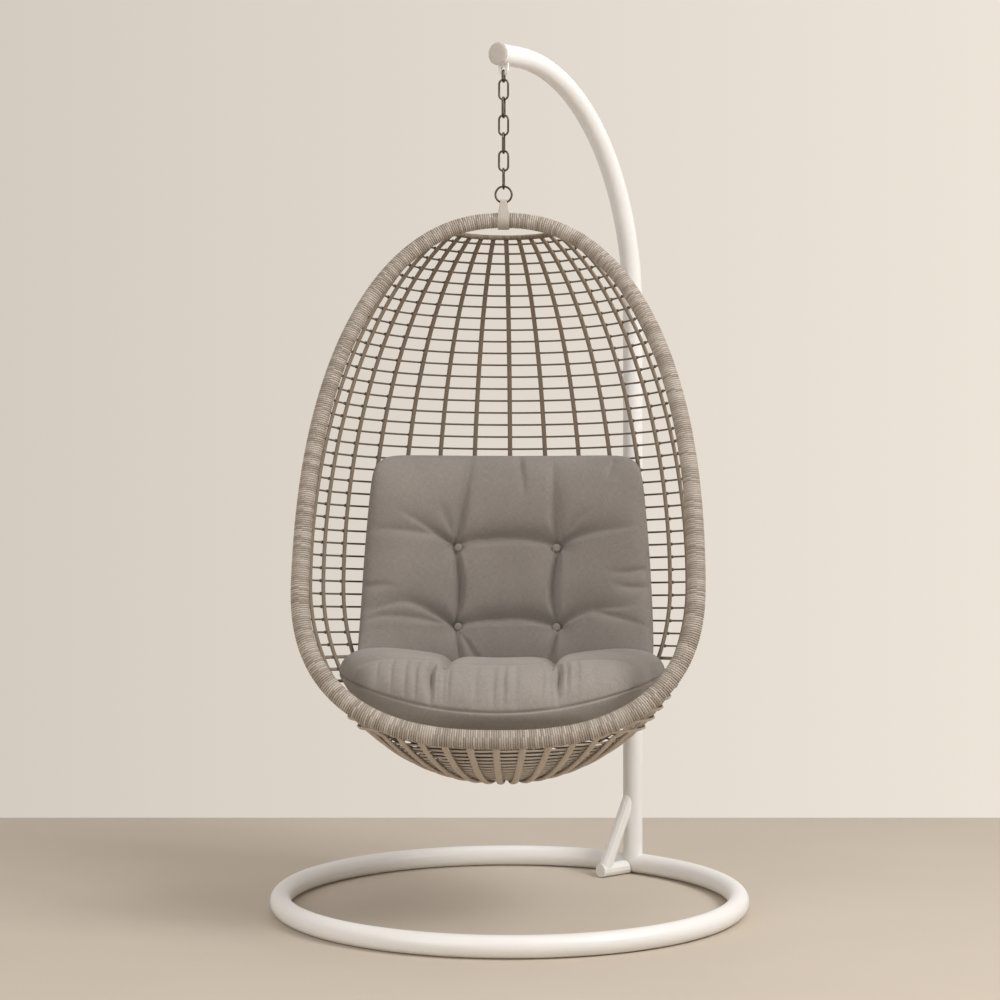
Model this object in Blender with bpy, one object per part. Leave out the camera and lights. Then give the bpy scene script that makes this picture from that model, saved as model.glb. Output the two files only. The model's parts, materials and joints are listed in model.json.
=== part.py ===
"""Hanging egg chair: a woven basket on a chain, carried by a curved-arm stand.

World axes: the floor is z = 0, the base ring is centred on the origin and the sitter
faces -Y. The basket is built about its hanging point in axes of its own, with z along
the egg's axis, and an empty at that point leans and turns it.
"""
import math

import bmesh
import bpy
from mathutils import Matrix, Vector
from mathutils.bvhtree import BVHTree

# Fits, in metres
TOUCH_GAP = 0.0003  # between pieces that rest on each other
SEAM_GAP = 0.0006  # between two ends of one tube that butt together

# Stand: base ring, mast and arm
RING_DIAMETER = 1.055  # over the tube
RING_TUBE = 0.048
MAST_TUBE = 0.046
STAND_WALL = 0.002
ARM_TURN = 35.7  # degrees from straight back towards +X
MAST_SPLIT = 0.80  # height of the joint between the lower mast and the arm
ARM_HEIGHT = 1.88  # of the arm's axis at its end
BEND_REACH = 0.47
BEND_RISE = 0.56
ARM_LENGTH = 0.545  # from the mast's axis to the arm's open end
SLEEVE_LENGTH = 0.20
SPIGOT_HEIGHT = 0.16
VENT_WIDTH = 0.009  # drain slot in the base ring

# Stand: foot gusset
GUSSET_TURN = 50.0  # degrees from straight back towards +X
SPUR_TUBE = 0.032
SPUR_LENGTH = 0.104
BRACE_TUBE = 0.030
BRACE_SETBACK = 0.013  # from the spur's closed end to the brace's axis
BRACE_HEIGHT = 0.20

# Arm end: plug and hanging lug
PLUG_HEAD = 0.051
PLUG_CROWN = 0.006
PLUG_SHANK = 0.024
LUG_SETBACK = 0.019  # from the arm's end to the middle of the lug
LUG_WIDTH = 0.026
LUG_THICKNESS = 0.005
LUG_HOLE = 0.012
LUG_HOLE_DROP = 0.0095  # from the arm's underside to the hole's centre

# Chain
CHAIN_WIRE = 0.0046
FIRST_LINK_PITCH = 0.0200
FIRST_LINK_WIDTH = 0.0200
LINK_PITCH = 0.0392  # inside length of a link
LINK_WIDTH = 0.0250
LINK_COUNT = 7
CHAIN_TURN = 18.0  # degrees, of the first link, clockwise from above
HANGER_RING = 0.0405  # outer diameter

# Basket: egg of the woven wall
BASKET_LEAN = 5.0  # degrees, top backwards
BASKET_TURN = 2.6  # degrees, clockwise from above
STRAP_DROP = 0.039  # from the hanger ring's wire to the middle of the rim tube
EGG_RADIUS = 0.426
EGG_UPPER = 0.822
EGG_LOWER = 0.424
EGG_RISE = 0.022  # of the egg's tip above the middle of the rim's top

# Basket: rim
RIM_HALF_WIDTH = 0.414
RIM_UPPER = 0.784
RIM_UPPER_POWER = 2.25
RIM_LOWER = 0.335
RIM_LOWER_POWER = 2.52
RIM_FORWARD = 0.300  # how far the rim's foot stands in front of the egg's axis
RIM_TOP_TUBE = 0.035
RIM_FOOT_TUBE = 0.041
RIM_CORE = 0.025
RIM_CORE_WALL = 0.002

# Basket: hanger strap
STRAP_WIDTH = 0.025  # round the rim
STRAP_EYE_WIDTH = 0.015
STRAP_THICKNESS = 0.003
STRAP_MARGIN = 0.0025  # straight rim on each side of the strap

# Basket: ribs and wicker
RIB_STEP = 12.0  # degrees between ribs
BACK_RIBS = 7  # on each side of the middle one
RIB_DIAMETER = 0.010
RIB_END_ROOM = 0.75  # of a rib's radius, kept to the rim above its end
CROWN_RADIUS = 0.132
CROWN_TUBE = 0.012
HUB_RADIUS = 0.062
HUB_THICKNESS = 0.009
ROW_PITCH = 0.0282
STRAND_WIDTH = 0.0045
STRAND_COUNT = 6
ROW_EASE = 0.003  # extra room where a row rounds the front ribs
TURN_ROOM = 0.75  # of a strand's width, kept to the rim where a row turns back
BOWL_PITCH = 0.0205
BOWL_TURN = 20.0  # degrees, by which the hub lies behind the lowest point of the bowl
BOWL_TURN_POWER = 1.15  # how gently that turn begins under the rim

# Cushions
SEAT_HALF_WIDTH = 0.354
SEAT_FRONT = 0.262  # in front of the egg's axis
SEAT_BACK = 0.272  # behind it
SEAT_TOP = -0.972  # heights from the hanging point, along the egg's axis
SEAT_CROWN = 0.106  # from the seam up to the top
SEAT_BASE = 0.050  # from the seam down to the underside
SEAT_CURL = 0.050  # how far the sides rise up the bowl
BACK_TOP_HALF_WIDTH = 0.309
BACK_FOOT_HALF_WIDTH = 0.340
BACK_TOP = -0.535
BACK_FOOT = -1.015
BACK_THICKNESS = 0.150
BACK_SEAM_PULL = 0.035  # how far the back cushion's edge stands off the wall
BACK_CORNERS = (0.08, 0.06)  # rounding of its corners, across and along
SEAT_CORNERS = (0.42, 0.42)
FLATTEST_SLOPE = 0.3  # of the wall where a cushion still rests against it
TUFT_SPREAD = 0.112  # from the middle to a tuft
BACK_TUFT_HEIGHTS = (-0.750, -0.930)
SEAT_TUFT_DEPTHS = (0.13, -0.08)  # in front of the egg's axis
TUFT_DEPTH = 0.030
TUFT_REACH = 0.045
CHANNEL_DEPTH = 0.009
CHANNEL_REACH = 0.0225
BUTTON_DIAMETER = 0.018
BUTTON_HEIGHT = 0.008

# Facets
ROUND_SIDES = 12
RING_SEGMENTS = 32
BEND_SEGMENTS = 14
RIM_SEGMENTS = 36
RIM_SIDES = 8
LINK_TURN_SEGMENTS = 8
WIRE_SIDES = 6
RIB_SEGMENTS = 14
RIB_SIDES = 4
BOWL_SEGMENTS = 18
CUSHION_COLUMNS = 20
CUSHION_ROWS = 16
BUTTON_SIDES = 10
LAY_IN_LIFT = 0.08
EDGE_SAMPLES = 4  # points tried on each edge when a cushion is laid in
SEARCH_STEP = 0.001  # steps in which a free end is drawn back from the rim
SEARCH_ANGLE = 0.25

RING_RADIUS = RING_TUBE / 2
MAST_RADIUS = MAST_TUBE / 2
MAST_DISTANCE = RING_DIAMETER / 2 - RING_RADIUS
FLAT = math.cos(math.pi / ROUND_SIDES)
RING_HEIGHT = RING_RADIUS * FLAT
BEND_START = ARM_HEIGHT - BEND_RISE
WIRE_RADIUS = CHAIN_WIRE / 2
LINK_STEP = CHAIN_WIRE + TOUCH_GAP
UP = Vector((0, 0, 1))
ARM_OUT = Vector((math.sin(math.radians(ARM_TURN)), math.cos(math.radians(ARM_TURN)), 0))
ARM_SIDE = Vector((ARM_OUT.y, -ARM_OUT.x, 0))
GUSSET_OUT = Vector((math.sin(math.radians(GUSSET_TURN)), math.cos(math.radians(GUSSET_TURN)), 0))
GUSSET_SIDE = Vector((GUSSET_OUT.y, -GUSSET_OUT.x, 0))

RIB_RADIUS = RIB_DIAMETER / 2
RIB_FLAT = RIB_RADIUS * math.cos(math.pi / RIB_SIDES)
STRAND_INNER = STRAND_WIDTH / (2 * math.sqrt(3))
RIM_TOP = -STRAP_DROP
RIM_WAIST = RIM_TOP - RIM_UPPER
RIM_FOOT = RIM_WAIST - RIM_LOWER
EQUATOR = RIM_TOP + EGG_RISE - EGG_UPPER
SEAT_SEAM = SEAT_TOP - SEAT_CROWN
SEAT_UNDERSIDE = SEAT_SEAM - SEAT_BASE
CUSHION_RESTS = ("back_rib", "front_ribs", "bowl_strand", "wicker_strand", "rim_wrap")


def material(name, colour, roughness, metallic=0.0):
    """A plain Principled finish."""
    finish = bpy.data.materials.new(name)
    finish.use_nodes = True
    shader = finish.node_tree.nodes["Principled BSDF"]
    shader.inputs["Base Color"].default_value = (*colour, 1.0)
    shader.inputs["Roughness"].default_value = roughness
    shader.inputs["Metallic"].default_value = metallic
    finish.diffuse_color = (*colour, 1.0)
    return finish


def circle(radius, sides):
    """Section points, with a flat facing along the section's normal."""
    angles = [math.pi * (2 * i + 1) / sides for i in range(sides)]
    return [(radius * math.cos(a), radius * math.sin(a)) for a in angles]


def frames(path, normals, closed):
    """Point, normal, side and corner stretch at each point of a path."""
    result = []
    last = len(path) - 1
    for i, point in enumerate(path):
        arriving = point - path[i - 1] if closed or i > 0 else None
        leaving = path[(i + 1) % len(path)] - point if closed or i < last else None
        arriving = (arriving or leaving).normalized()
        leaving = (leaving or arriving).normalized()
        tangent = (arriving + leaving).normalized()
        side = tangent.cross(normals[i]).normalized()
        normal = side.cross(tangent)
        result.append((point, normal, side, 1 / tangent.dot(leaving)))
    return result


def section_loops(path, normals, sections, closed=False):
    """One loop of points for each point of a path."""
    return [
        [point + normal * n + side * (s * stretch) for n, s in section]
        for (point, normal, side, stretch), section in zip(frames(path, normals, closed), sections)
    ]


def loft(mesh, loops, closed=False):
    """Skins loops into a closed body, with end caps unless the row of loops is closed."""
    rows = [[mesh.verts.new(p) for p in loop] for loop in loops]
    spans = list(zip(rows, rows[1:]))
    if closed:
        spans.append((rows[-1], rows[0]))
    else:
        mesh.faces.new(rows[0][::-1])
        mesh.faces.new(rows[-1])
    for near, far in spans:
        for i in range(len(near)):
            j = (i + 1) % len(near)
            mesh.faces.new((near[i], near[j], far[j], far[i]))
    return rows


def tube(path, normal, radius, sides=ROUND_SIDES, bore=None, closed=False):
    """A round tube along a flat path: solid, or open at both ends with a bore."""
    mesh = bmesh.new()
    normals = [normal] * len(path)
    outer = section_loops(path, normals, [circle(radius, sides)] * len(path), closed)
    if bore is None:
        loft(mesh, outer, closed)
    else:
        inner = section_loops(path, normals, [circle(bore, sides)] * len(path), closed)
        loft(mesh, outer + inner[::-1], closed=True)
    return mesh


def turned(centre, axis, side, profile, sides=ROUND_SIDES):
    """A body turned about an axis from (distance along it, radius) pairs."""
    mesh = bmesh.new()
    other = axis.cross(side)
    loops = []
    for along, radius in profile:
        loops.append([centre + axis * along + side * n + other * s for n, s in circle(radius, sides)])
    loft(mesh, loops)
    return mesh


def place(name, mesh, finish, origin=None, parent=None, smooth=35.0):
    """Makes an object whose origin is at the given point of its parent's axes."""
    origin = origin or Vector((0, 0, 0))
    bmesh.ops.translate(mesh, verts=mesh.verts, vec=-origin)
    bmesh.ops.recalc_face_normals(mesh, faces=mesh.faces)
    data = bpy.data.meshes.new(name)
    mesh.to_mesh(data)
    mesh.free()
    data.shade_smooth()
    data.set_sharp_from_angle(angle=math.radians(smooth))
    item = bpy.data.objects.new(name, data)
    item.location = origin
    item.parent = parent
    if finish:
        data.materials.append(finish)
    bpy.context.scene.collection.objects.link(item)
    return item


def cutter(name, mesh):
    """A hidden guide that only cuts other pieces."""
    guide = place(name, mesh, None)
    guide.hide_render = True
    guide.display_type = "WIRE"
    return guide


def boolean(item, guide, operation="DIFFERENCE"):
    """Cuts or joins with a guide."""
    change = item.modifiers.new(guide.name, "BOOLEAN")
    change.operation = operation
    change.solver = "EXACT"
    change.object = guide


def arm_point(reach, height):
    """A point in the arm's plane, by its distance from the mast towards the middle."""
    return ARM_OUT * (MAST_DISTANCE - reach) + UP * height


def gusset_point(reach, height):
    """A point in the gusset's plane, by its distance from the mast's axis."""
    return ARM_OUT * MAST_DISTANCE - GUSSET_OUT * reach + UP * height


def ring_path():
    """Points round the base ring, and the index of the narrow bay that holds the drain slot."""
    vent_index = RING_SEGMENTS // 2
    step = 2 * math.pi / RING_SEGMENTS
    angles = [i * step for i in range(RING_SEGMENTS)]
    angles.insert(vent_index + 1, vent_index * step + VENT_WIDTH / MAST_DISTANCE)
    points = [
        Vector((MAST_DISTANCE * math.cos(a), MAST_DISTANCE * math.sin(a), RING_HEIGHT)) for a in angles
    ]
    return points, vent_index


def base_ring(finish):
    """A hollow ring with one drain slot on its inner side."""
    path, vent = ring_path()
    normals = [UP] * len(path)
    mesh = bmesh.new()
    shells = []
    for radius in (RING_RADIUS, RING_RADIUS - STAND_WALL):
        sections = [circle(radius, ROUND_SIDES)] * len(path)
        shells.append(loft(mesh, section_loops(path, normals, sections, closed=True), closed=True))
    section = circle(1, ROUND_SIDES)
    inward = sorted(sorted(range(ROUND_SIDES), key=lambda i: section[i][1])[:2])
    if (inward[1] - inward[0]) % ROUND_SIDES != 1:
        inward.reverse()
    slot = []
    for rows in shells:
        corners = [rows[vent][inward[0]], rows[vent][inward[1]]]
        corners += [rows[vent + 1][inward[1]], rows[vent + 1][inward[0]]]
        mesh.faces.remove(mesh.faces.get(corners))
        slot.append(corners)
    for i in range(4):
        j = (i + 1) % 4
        mesh.faces.new((slot[0][i], slot[0][j], slot[1][j], slot[1][i]))
    return place("base_ring", mesh, finish)


def stand(white, plug_finish):
    """Base ring, foot gusset, mast, arm, plug and lug."""
    base_ring(white)
    ring_guide = cutter("ring_guide", tube(ring_path()[0], UP, RING_RADIUS + TOUCH_GAP, closed=True))
    mast_line = [arm_point(0, RING_HEIGHT), arm_point(0, BEND_START)]
    mast_guide = cutter("mast_guide", tube(mast_line, ARM_SIDE, MAST_RADIUS + TOUCH_GAP))
    bore = MAST_RADIUS - STAND_WALL
    inner = bore - TOUCH_GAP

    lower = [arm_point(0, RING_HEIGHT), arm_point(0, MAST_SPLIT - SEAM_GAP / 2)]
    boolean(place("lower_mast", tube(lower, ARM_SIDE, MAST_RADIUS, bore=bore), white), ring_guide)
    spigot = [arm_point(0, RING_HEIGHT), arm_point(0, RING_HEIGHT + SPIGOT_HEIGHT)]
    boolean(place("foot_spigot", tube(spigot, ARM_SIDE, inner, bore=inner - STAND_WALL), white), ring_guide)
    sleeve = [arm_point(0, MAST_SPLIT + end * SLEEVE_LENGTH / 2) for end in (-1, 1)]
    place("mast_sleeve", tube(sleeve, ARM_SIDE, inner, bore=inner - STAND_WALL), white)

    path = [arm_point(0, MAST_SPLIT + SEAM_GAP / 2)]
    for i in range(BEND_SEGMENTS + 1):
        a = math.pi / 2 * i / BEND_SEGMENTS
        path.append(arm_point(BEND_REACH * (1 - math.cos(a)), BEND_START + BEND_RISE * math.sin(a)))
    path.append(arm_point(ARM_LENGTH, ARM_HEIGHT))
    place("upper_arm", tube(path, ARM_SIDE, MAST_RADIUS, bore=bore), white)

    foot_gusset(white, ring_guide, mast_guide)
    arm_plug(plug_finish, inner)
    hang_lug(white)


def foot_gusset(white, ring_guide, mast_guide):
    """The spur tube on the floor and the brace from its end up to the mast."""
    radius = SPUR_TUBE / 2
    height = radius
    bore = radius - STAND_WALL
    open_end = gusset_point(0, height)
    closed_end = gusset_point(SPUR_LENGTH, height)
    bore_end = gusset_point(SPUR_LENGTH - STAND_WALL, height)
    mesh = bmesh.new()
    side = [GUSSET_SIDE] * 2
    inner = section_loops([bore_end, open_end], side, [circle(bore, ROUND_SIDES)] * 2)
    outer = section_loops([open_end, closed_end], side, [circle(radius, ROUND_SIDES)] * 2)
    mirrored = [[loop[-i] for i in range(len(loop))] for loop in inner]
    loft(mesh, [line_up(loop, outer[0]) for loop in mirrored] + outer)
    boolean(place("foot_spur", mesh, white), ring_guide)

    spur_line = [gusset_point(0, height), gusset_point(SPUR_LENGTH + radius, height)]
    spur_guide = cutter("spur_guide", tube(spur_line, GUSSET_SIDE, radius + TOUCH_GAP))
    brace_line = [gusset_point(SPUR_LENGTH - BRACE_SETBACK, height), gusset_point(0, BRACE_HEIGHT)]
    brace_radius = BRACE_TUBE / 2
    brace_mesh = tube(brace_line, GUSSET_SIDE, brace_radius, bore=brace_radius - STAND_WALL)
    brace = place("brace_strut", brace_mesh, white)
    boolean(brace, spur_guide)
    boolean(brace, mast_guide)


def line_up(loop, guide):
    """The same loop, begun at the point that faces the guide's first one."""
    middle = sum(loop, Vector()) / len(loop)
    target = guide[0] - sum(guide, Vector()) / len(guide)
    start = max(range(len(loop)), key=lambda i: (loop[i] - middle).dot(target))
    return loop[start:] + loop[:start]


def arm_plug(finish, shank_radius):
    """The plug in the arm's open end: a shank inside and a low crowned head."""
    head = PLUG_HEAD / 2
    profile = [
        (-PLUG_SHANK, shank_radius - TOUCH_GAP),
        (TOUCH_GAP, shank_radius - TOUCH_GAP),
        (TOUCH_GAP, head),
        (PLUG_CROWN * 0.5, head),
        (PLUG_CROWN * 0.85, head * 0.86),
        (PLUG_CROWN, head * 0.55),
    ]
    place("arm_end_plug", turned(arm_point(ARM_LENGTH, ARM_HEIGHT), -ARM_OUT, ARM_SIDE, profile), finish)


def lug_hole_centre():
    """The middle of the lug's hole."""
    return arm_point(ARM_LENGTH - LUG_SETBACK, ARM_HEIGHT - MAST_RADIUS - LUG_HOLE_DROP)


def hang_lug(white):
    """A plate across the arm's underside, with a round foot and a hole for the first link."""
    centre = lug_hole_centre()
    half = LUG_WIDTH / 2
    outline = [(half, ARM_HEIGHT - centre.z), (-half, ARM_HEIGHT - centre.z)]
    for i in range(ROUND_SIDES + 1):
        a = math.pi + math.pi * i / ROUND_SIDES
        outline.append((half * math.cos(a), half * math.sin(a)))
    mesh = bmesh.new()
    loops = []
    for end in (-1, 1):
        shift = ARM_OUT * (end * LUG_THICKNESS / 2)
        loops.append([centre + shift + ARM_SIDE * s + UP * u for s, u in outline])
    loft(mesh, loops)
    lug = place("hang_lug", mesh, white)
    reach = ARM_OUT * LUG_WIDTH
    hole = tube([centre - reach, centre + reach], ARM_SIDE, LUG_HOLE / 2)
    boolean(lug, cutter("lug_hole_guide", hole))
    level = Vector((centre.x, centre.y, ARM_HEIGHT))
    boolean(lug, cutter("arm_guide", tube([level - reach, level + reach], ARM_SIDE, MAST_RADIUS + TOUCH_GAP)))


def hang_height():
    """Height of the first link's upper wire in the lug's hole."""
    bend = (FIRST_LINK_WIDTH - CHAIN_WIRE) / 2
    sag = bend - math.sqrt(bend ** 2 - (LUG_THICKNESS / 2) ** 2)
    seat = LUG_HOLE / 2 * FLAT - WIRE_RADIUS - 2 * TOUCH_GAP
    return lug_hole_centre().z - seat + sag


def link_mesh(pitch, width):
    """A chain link in the xz plane, hanging from its upper wire at the origin."""
    bend = (width - CHAIN_WIRE) / 2
    length = pitch + LINK_STEP
    path = []
    for middle, start in ((-bend, 0.0), (bend - length, math.pi)):
        for i in range(LINK_TURN_SEGMENTS + 1):
            a = start + math.pi * i / LINK_TURN_SEGMENTS
            path.append(Vector((bend * math.cos(a), 0, middle + bend * math.sin(a))))
    return tube(path, Vector((0, 1, 0)), WIRE_RADIUS, WIRE_SIDES, closed=True)


def chain(steel):
    """Seven links and the hanger ring; returns the hanging point of the basket."""
    spot = lug_hole_centre()
    height = hang_height()
    turn_step = (CHAIN_TURN - BASKET_TURN) / LINK_COUNT
    for k in range(LINK_COUNT):
        pitch = LINK_PITCH if k else FIRST_LINK_PITCH
        width = LINK_WIDTH if k else FIRST_LINK_WIDTH
        link = place(f"chain_link_{k + 1}", link_mesh(pitch, width), steel)
        link.location = (spot.x, spot.y, height)
        across = 90.0 if k % 2 == 0 else 0.0
        link.rotation_euler.z = math.radians(across - CHAIN_TURN + turn_step * k)
        height -= pitch
    loop = (HANGER_RING - CHAIN_WIRE) / 2
    count = 2 * LINK_TURN_SEGMENTS
    path = []
    for i in range(count):
        a = 2 * math.pi * i / count - math.pi / 2
        path.append(Vector((loop * math.cos(a), 0, -loop + loop * math.sin(a))))
    ring = place("hanger_ring", tube(path, Vector((0, 1, 0)), WIRE_RADIUS, WIRE_SIDES, closed=True), steel)
    ring.location = (spot.x, spot.y, height)
    ring.rotation_euler.z = math.radians(-BASKET_TURN)
    return Vector((spot.x, spot.y, height - 2 * loop))


def rim_share(z):
    """How far down the rim a height lies: 0 at its top, 1 at its foot."""
    return min(max((RIM_TOP - z) / (RIM_UPPER + RIM_LOWER), 0.0), 1.0)


def rim_radius(z):
    """Outer radius of the wrapped rim at a height."""
    return (RIM_TOP_TUBE + (RIM_FOOT_TUBE - RIM_TOP_TUBE) * rim_share(z)) / 2


def rim_half_width(z):
    """Half the rim's width at a height."""
    upper = z > RIM_WAIST
    reach = RIM_UPPER if upper else RIM_LOWER
    power = RIM_UPPER_POWER if upper else RIM_LOWER_POWER
    share = min(abs(z - RIM_WAIST) / reach, 1.0)
    return RIM_HALF_WIDTH * (1 - share ** power) ** (1 / power)


def rim_outline(angle):
    """A point of the rim's centre line; a quarter turn from +x is its top."""
    c = math.cos(angle)
    s = math.sin(angle)
    power = 2 / (RIM_UPPER_POWER if s > 0 else RIM_LOWER_POWER)
    x = RIM_HALF_WIDTH * math.copysign(abs(c) ** power, c)
    z = RIM_WAIST + (RIM_UPPER if s > 0 else RIM_LOWER) * math.copysign(abs(s) ** power, s)
    return Vector((x, -RIM_FORWARD * rim_share(z), z))


def even_points(points, count):
    """Points at even steps along a line."""
    lengths = [0.0]
    for a, b in zip(points, points[1:]):
        lengths.append(lengths[-1] + (b - a).length)
    result = []
    i = 0
    for k in range(count + 1):
        goal = lengths[-1] * k / count
        while i < len(points) - 2 and lengths[i + 1] < goal:
            i += 1
        share = (goal - lengths[i]) / (lengths[i + 1] - lengths[i])
        result.append(points[i].lerp(points[i + 1], share))
    return result


def rim_line():
    """The rim from its seam under the strap, round its foot and back to the seam."""
    fine = 40 * RIM_SEGMENTS
    beside_strap = STRAP_WIDTH / 2 + STRAP_MARGIN
    skip = math.asin((beside_strap / RIM_HALF_WIDTH) ** (RIM_UPPER_POWER / 2))
    turn = 2 * (math.pi - skip)
    points = [rim_outline(math.pi / 2 + skip + turn * i / fine) for i in range(fine + 1)]
    half_seam = SEAM_GAP / 2
    ends = [Vector((side * half_seam, 0, RIM_TOP)) for side in (-1, 1)]
    return [ends[0]] + even_points(points, RIM_SEGMENTS) + [ends[1]]


RIM_LINE = rim_line()
RIM_NORMAL = Vector((0, -(RIM_UPPER + RIM_LOWER), RIM_FORWARD)).normalized()


def rim_distance(point):
    """Distance from a point to the rim's centre line, less the rim's radius there."""
    best = 1.0
    for a, b in zip(RIM_LINE, RIM_LINE[1:]):
        along = b - a
        share = min(max((point - a).dot(along) / along.length_squared, 0.0), 1.0)
        near = a + along * share
        best = min(best, (point - near).length - rim_radius(near.z))
    return best


def rim(core_finish, wicker, hang):
    """The steel loop and the wicker wound round it, both open at the seam under the strap."""
    normals = [RIM_NORMAL] * len(RIM_LINE)
    core = RIM_CORE / 2
    core_mesh = tube(RIM_LINE, RIM_NORMAL, core, WIRE_SIDES, bore=core - RIM_CORE_WALL)
    place("rim_core", core_mesh, core_finish, parent=hang)
    mesh = bmesh.new()
    outer = section_loops(RIM_LINE, normals, [circle(rim_radius(p.z), RIM_SIDES) for p in RIM_LINE])
    hole = (core + TOUCH_GAP) / math.cos(math.pi / RIM_SIDES)
    inner = section_loops(RIM_LINE, normals, [circle(hole, RIM_SIDES)] * len(RIM_LINE))
    loft(mesh, outer + inner[::-1], closed=True)
    place("rim_wrap", mesh, wicker, parent=hang)


def strap(finish, hang):
    """A folded band: a wide loop round the rim and a narrow eye on the hanger ring's wire."""
    loop = (HANGER_RING - CHAIN_WIRE) / 2
    rise = loop - math.sqrt(loop ** 2 - ((STRAP_EYE_WIDTH + WIRE_RADIUS) / 2) ** 2)
    eye = WIRE_RADIUS + TOUCH_GAP + rise
    grip = rim_radius(RIM_TOP) + 2 * TOUCH_GAP
    lean = math.asin((grip - eye) / STRAP_DROP)
    mesh = bmesh.new()
    rings = []
    for wall in (0.0, STRAP_THICKNESS):
        ring = []
        for middle, radius, start, end, count, width in (
            (0.0, eye + wall, lean, math.pi - lean, 6, STRAP_EYE_WIDTH),
            (-STRAP_DROP, grip + wall, math.pi - lean, 2 * math.pi + lean, 12, STRAP_WIDTH),
        ):
            for i in range(count + 1):
                a = start + (end - start) * i / count
                bulge = 1 / math.cos((end - start) / count / 2)
                ring.append((radius * bulge * math.cos(a), middle + radius * bulge * math.sin(a), width / 2))
        rings.append(ring)
    loops = []
    for (y, z, half), (far_y, far_z, far_half) in zip(*rings):
        corners = [Vector((-half, y, z)), Vector((half, y, z))]
        corners += [Vector((far_half, far_y, far_z)), Vector((-far_half, far_y, far_z))]
        loops.append(corners)
    loft(mesh, loops, closed=True)
    place("hanger_strap", mesh, finish, parent=hang)


def egg_radius(z):
    """Radius of the egg at a height."""
    reach = EGG_UPPER if z > EQUATOR else EGG_LOWER
    return EGG_RADIUS * math.sqrt(max(1 - ((z - EQUATOR) / reach) ** 2, 0.0))


def egg_normal(theta, z):
    """Outward normal of the egg, by the angle from straight back and the height."""
    reach = EGG_UPPER if z > EQUATOR else EGG_LOWER
    flat = Vector((egg_radius(z) / EGG_RADIUS ** 2, (z - EQUATOR) / reach ** 2)).normalized()
    return Vector((flat.x * math.sin(theta), flat.x * math.cos(theta), flat.y))


def wall(theta, z, lift=0.0):
    """A point of the woven wall: the egg at the back, drawn to the rim at the front."""
    radius = egg_radius(z)
    if abs(theta) > math.pi / 2 and RIM_FOOT < z < RIM_TOP:
        half = rim_half_width(z)
        forward = RIM_FORWARD * rim_share(z)
        rim_angle = math.atan2(half, -forward)
        share = min((abs(theta) - math.pi / 2) / (rim_angle - math.pi / 2), 1.0)
        radius += (math.hypot(half, forward) - radius) * share ** 2
    point = Vector((radius * math.sin(theta), radius * math.cos(theta), z))
    return point + egg_normal(theta, z) * lift


def egg_height(angle):
    """Height on the egg by its own angle: 90 degrees at the top, -90 at the foot."""
    return EQUATOR + (EGG_UPPER if angle > 0 else EGG_LOWER) * math.sin(angle)


def heights(start, end, count=None, pitch=None):
    """Heights at even steps along the egg's side, from one height down to another."""
    def own_angle(z):
        return math.asin((z - EQUATOR) / (EGG_UPPER if z > EQUATOR else EGG_LOWER))

    fine = 600
    first = own_angle(start)
    last = own_angle(end)
    line = []
    for i in range(fine + 1):
        z = egg_height(first + (last - first) * i / fine)
        line.append(Vector((egg_radius(z), 0, z)))
    length = sum((b - a).length for a, b in zip(line, line[1:]))
    steps = count or max(round(length / pitch), 1)
    return [p.z for p in even_points(line, steps)]


def height_at(radius, upper):
    """Height at which the egg has a radius, above or below its widest ring."""
    drop = math.sqrt(1 - (radius / EGG_RADIUS) ** 2)
    return EQUATOR + (EGG_UPPER if upper else -EGG_LOWER) * drop


CROWN_HEIGHT = height_at(CROWN_RADIUS, True)
HUB_HEIGHT = height_at(HUB_RADIUS, False)
BOWL_TURN_END = height_at(HUB_RADIUS + 2 * RIB_RADIUS, False)


def bowl(theta, z, lift=0.0):
    """A point of the wall whose weave, below the rim's foot, turns back towards the hub."""
    begun, here, done = [
        math.asin((h - EQUATOR) / EGG_LOWER) for h in (RIM_FOOT, min(z, EQUATOR), BOWL_TURN_END)
    ]
    share = min(max((begun - here) / (begun - done), 0.0), 1.0) ** BOWL_TURN_POWER
    middle = Vector((0, 0, EQUATOR))
    turn = Matrix.Rotation(math.radians(BOWL_TURN) * share, 3, "X")
    return middle + turn @ (wall(theta, z, lift) - middle)


def rib_sag():
    """How far a rib's straight facets fall inside the egg between their ends."""
    ends = heights(CROWN_HEIGHT, HUB_HEIGHT, RIB_SEGMENTS)
    chord = max(
        math.hypot(egg_radius(a) - egg_radius(b), a - b) for a, b in zip(ends, ends[1:])
    )
    return chord ** 2 / (8 * min(EGG_LOWER, EGG_RADIUS))


RIB_SAG = rib_sag()


def rod(path, radius):
    """A straight-sided rod along a rib's path, with one flat facing out of the egg."""
    mesh = bmesh.new()
    middle = Vector((0, 0, EQUATOR))
    normals = []
    for point in path:
        flat = (point - middle) / EGG_RADIUS ** 2
        flat.z *= (EGG_RADIUS / (EGG_UPPER if point.z > EQUATOR else EGG_LOWER)) ** 2
        normals.append(flat.normalized())
    loft(mesh, section_loops(path, normals, [circle(radius, RIB_SIDES)] * len(path)))
    return mesh


def crown_hoop(wicker, hang):
    """The half hoop that the back ribs spring from, butted to the rim at both ends."""
    clear = CROWN_TUBE / 2 + TOUCH_GAP
    end = math.pi / 2
    while rim_distance(wall(end, CROWN_HEIGHT)) < clear:
        end -= math.radians(SEARCH_ANGLE)
    count = 2 * LINK_TURN_SEGMENTS
    path = [wall(-end + 2 * end * i / count, CROWN_HEIGHT) for i in range(count + 1)]
    place("crown_hoop", tube(path, UP, CROWN_TUBE / 2, WIRE_SIDES), wicker, parent=hang)


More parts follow.
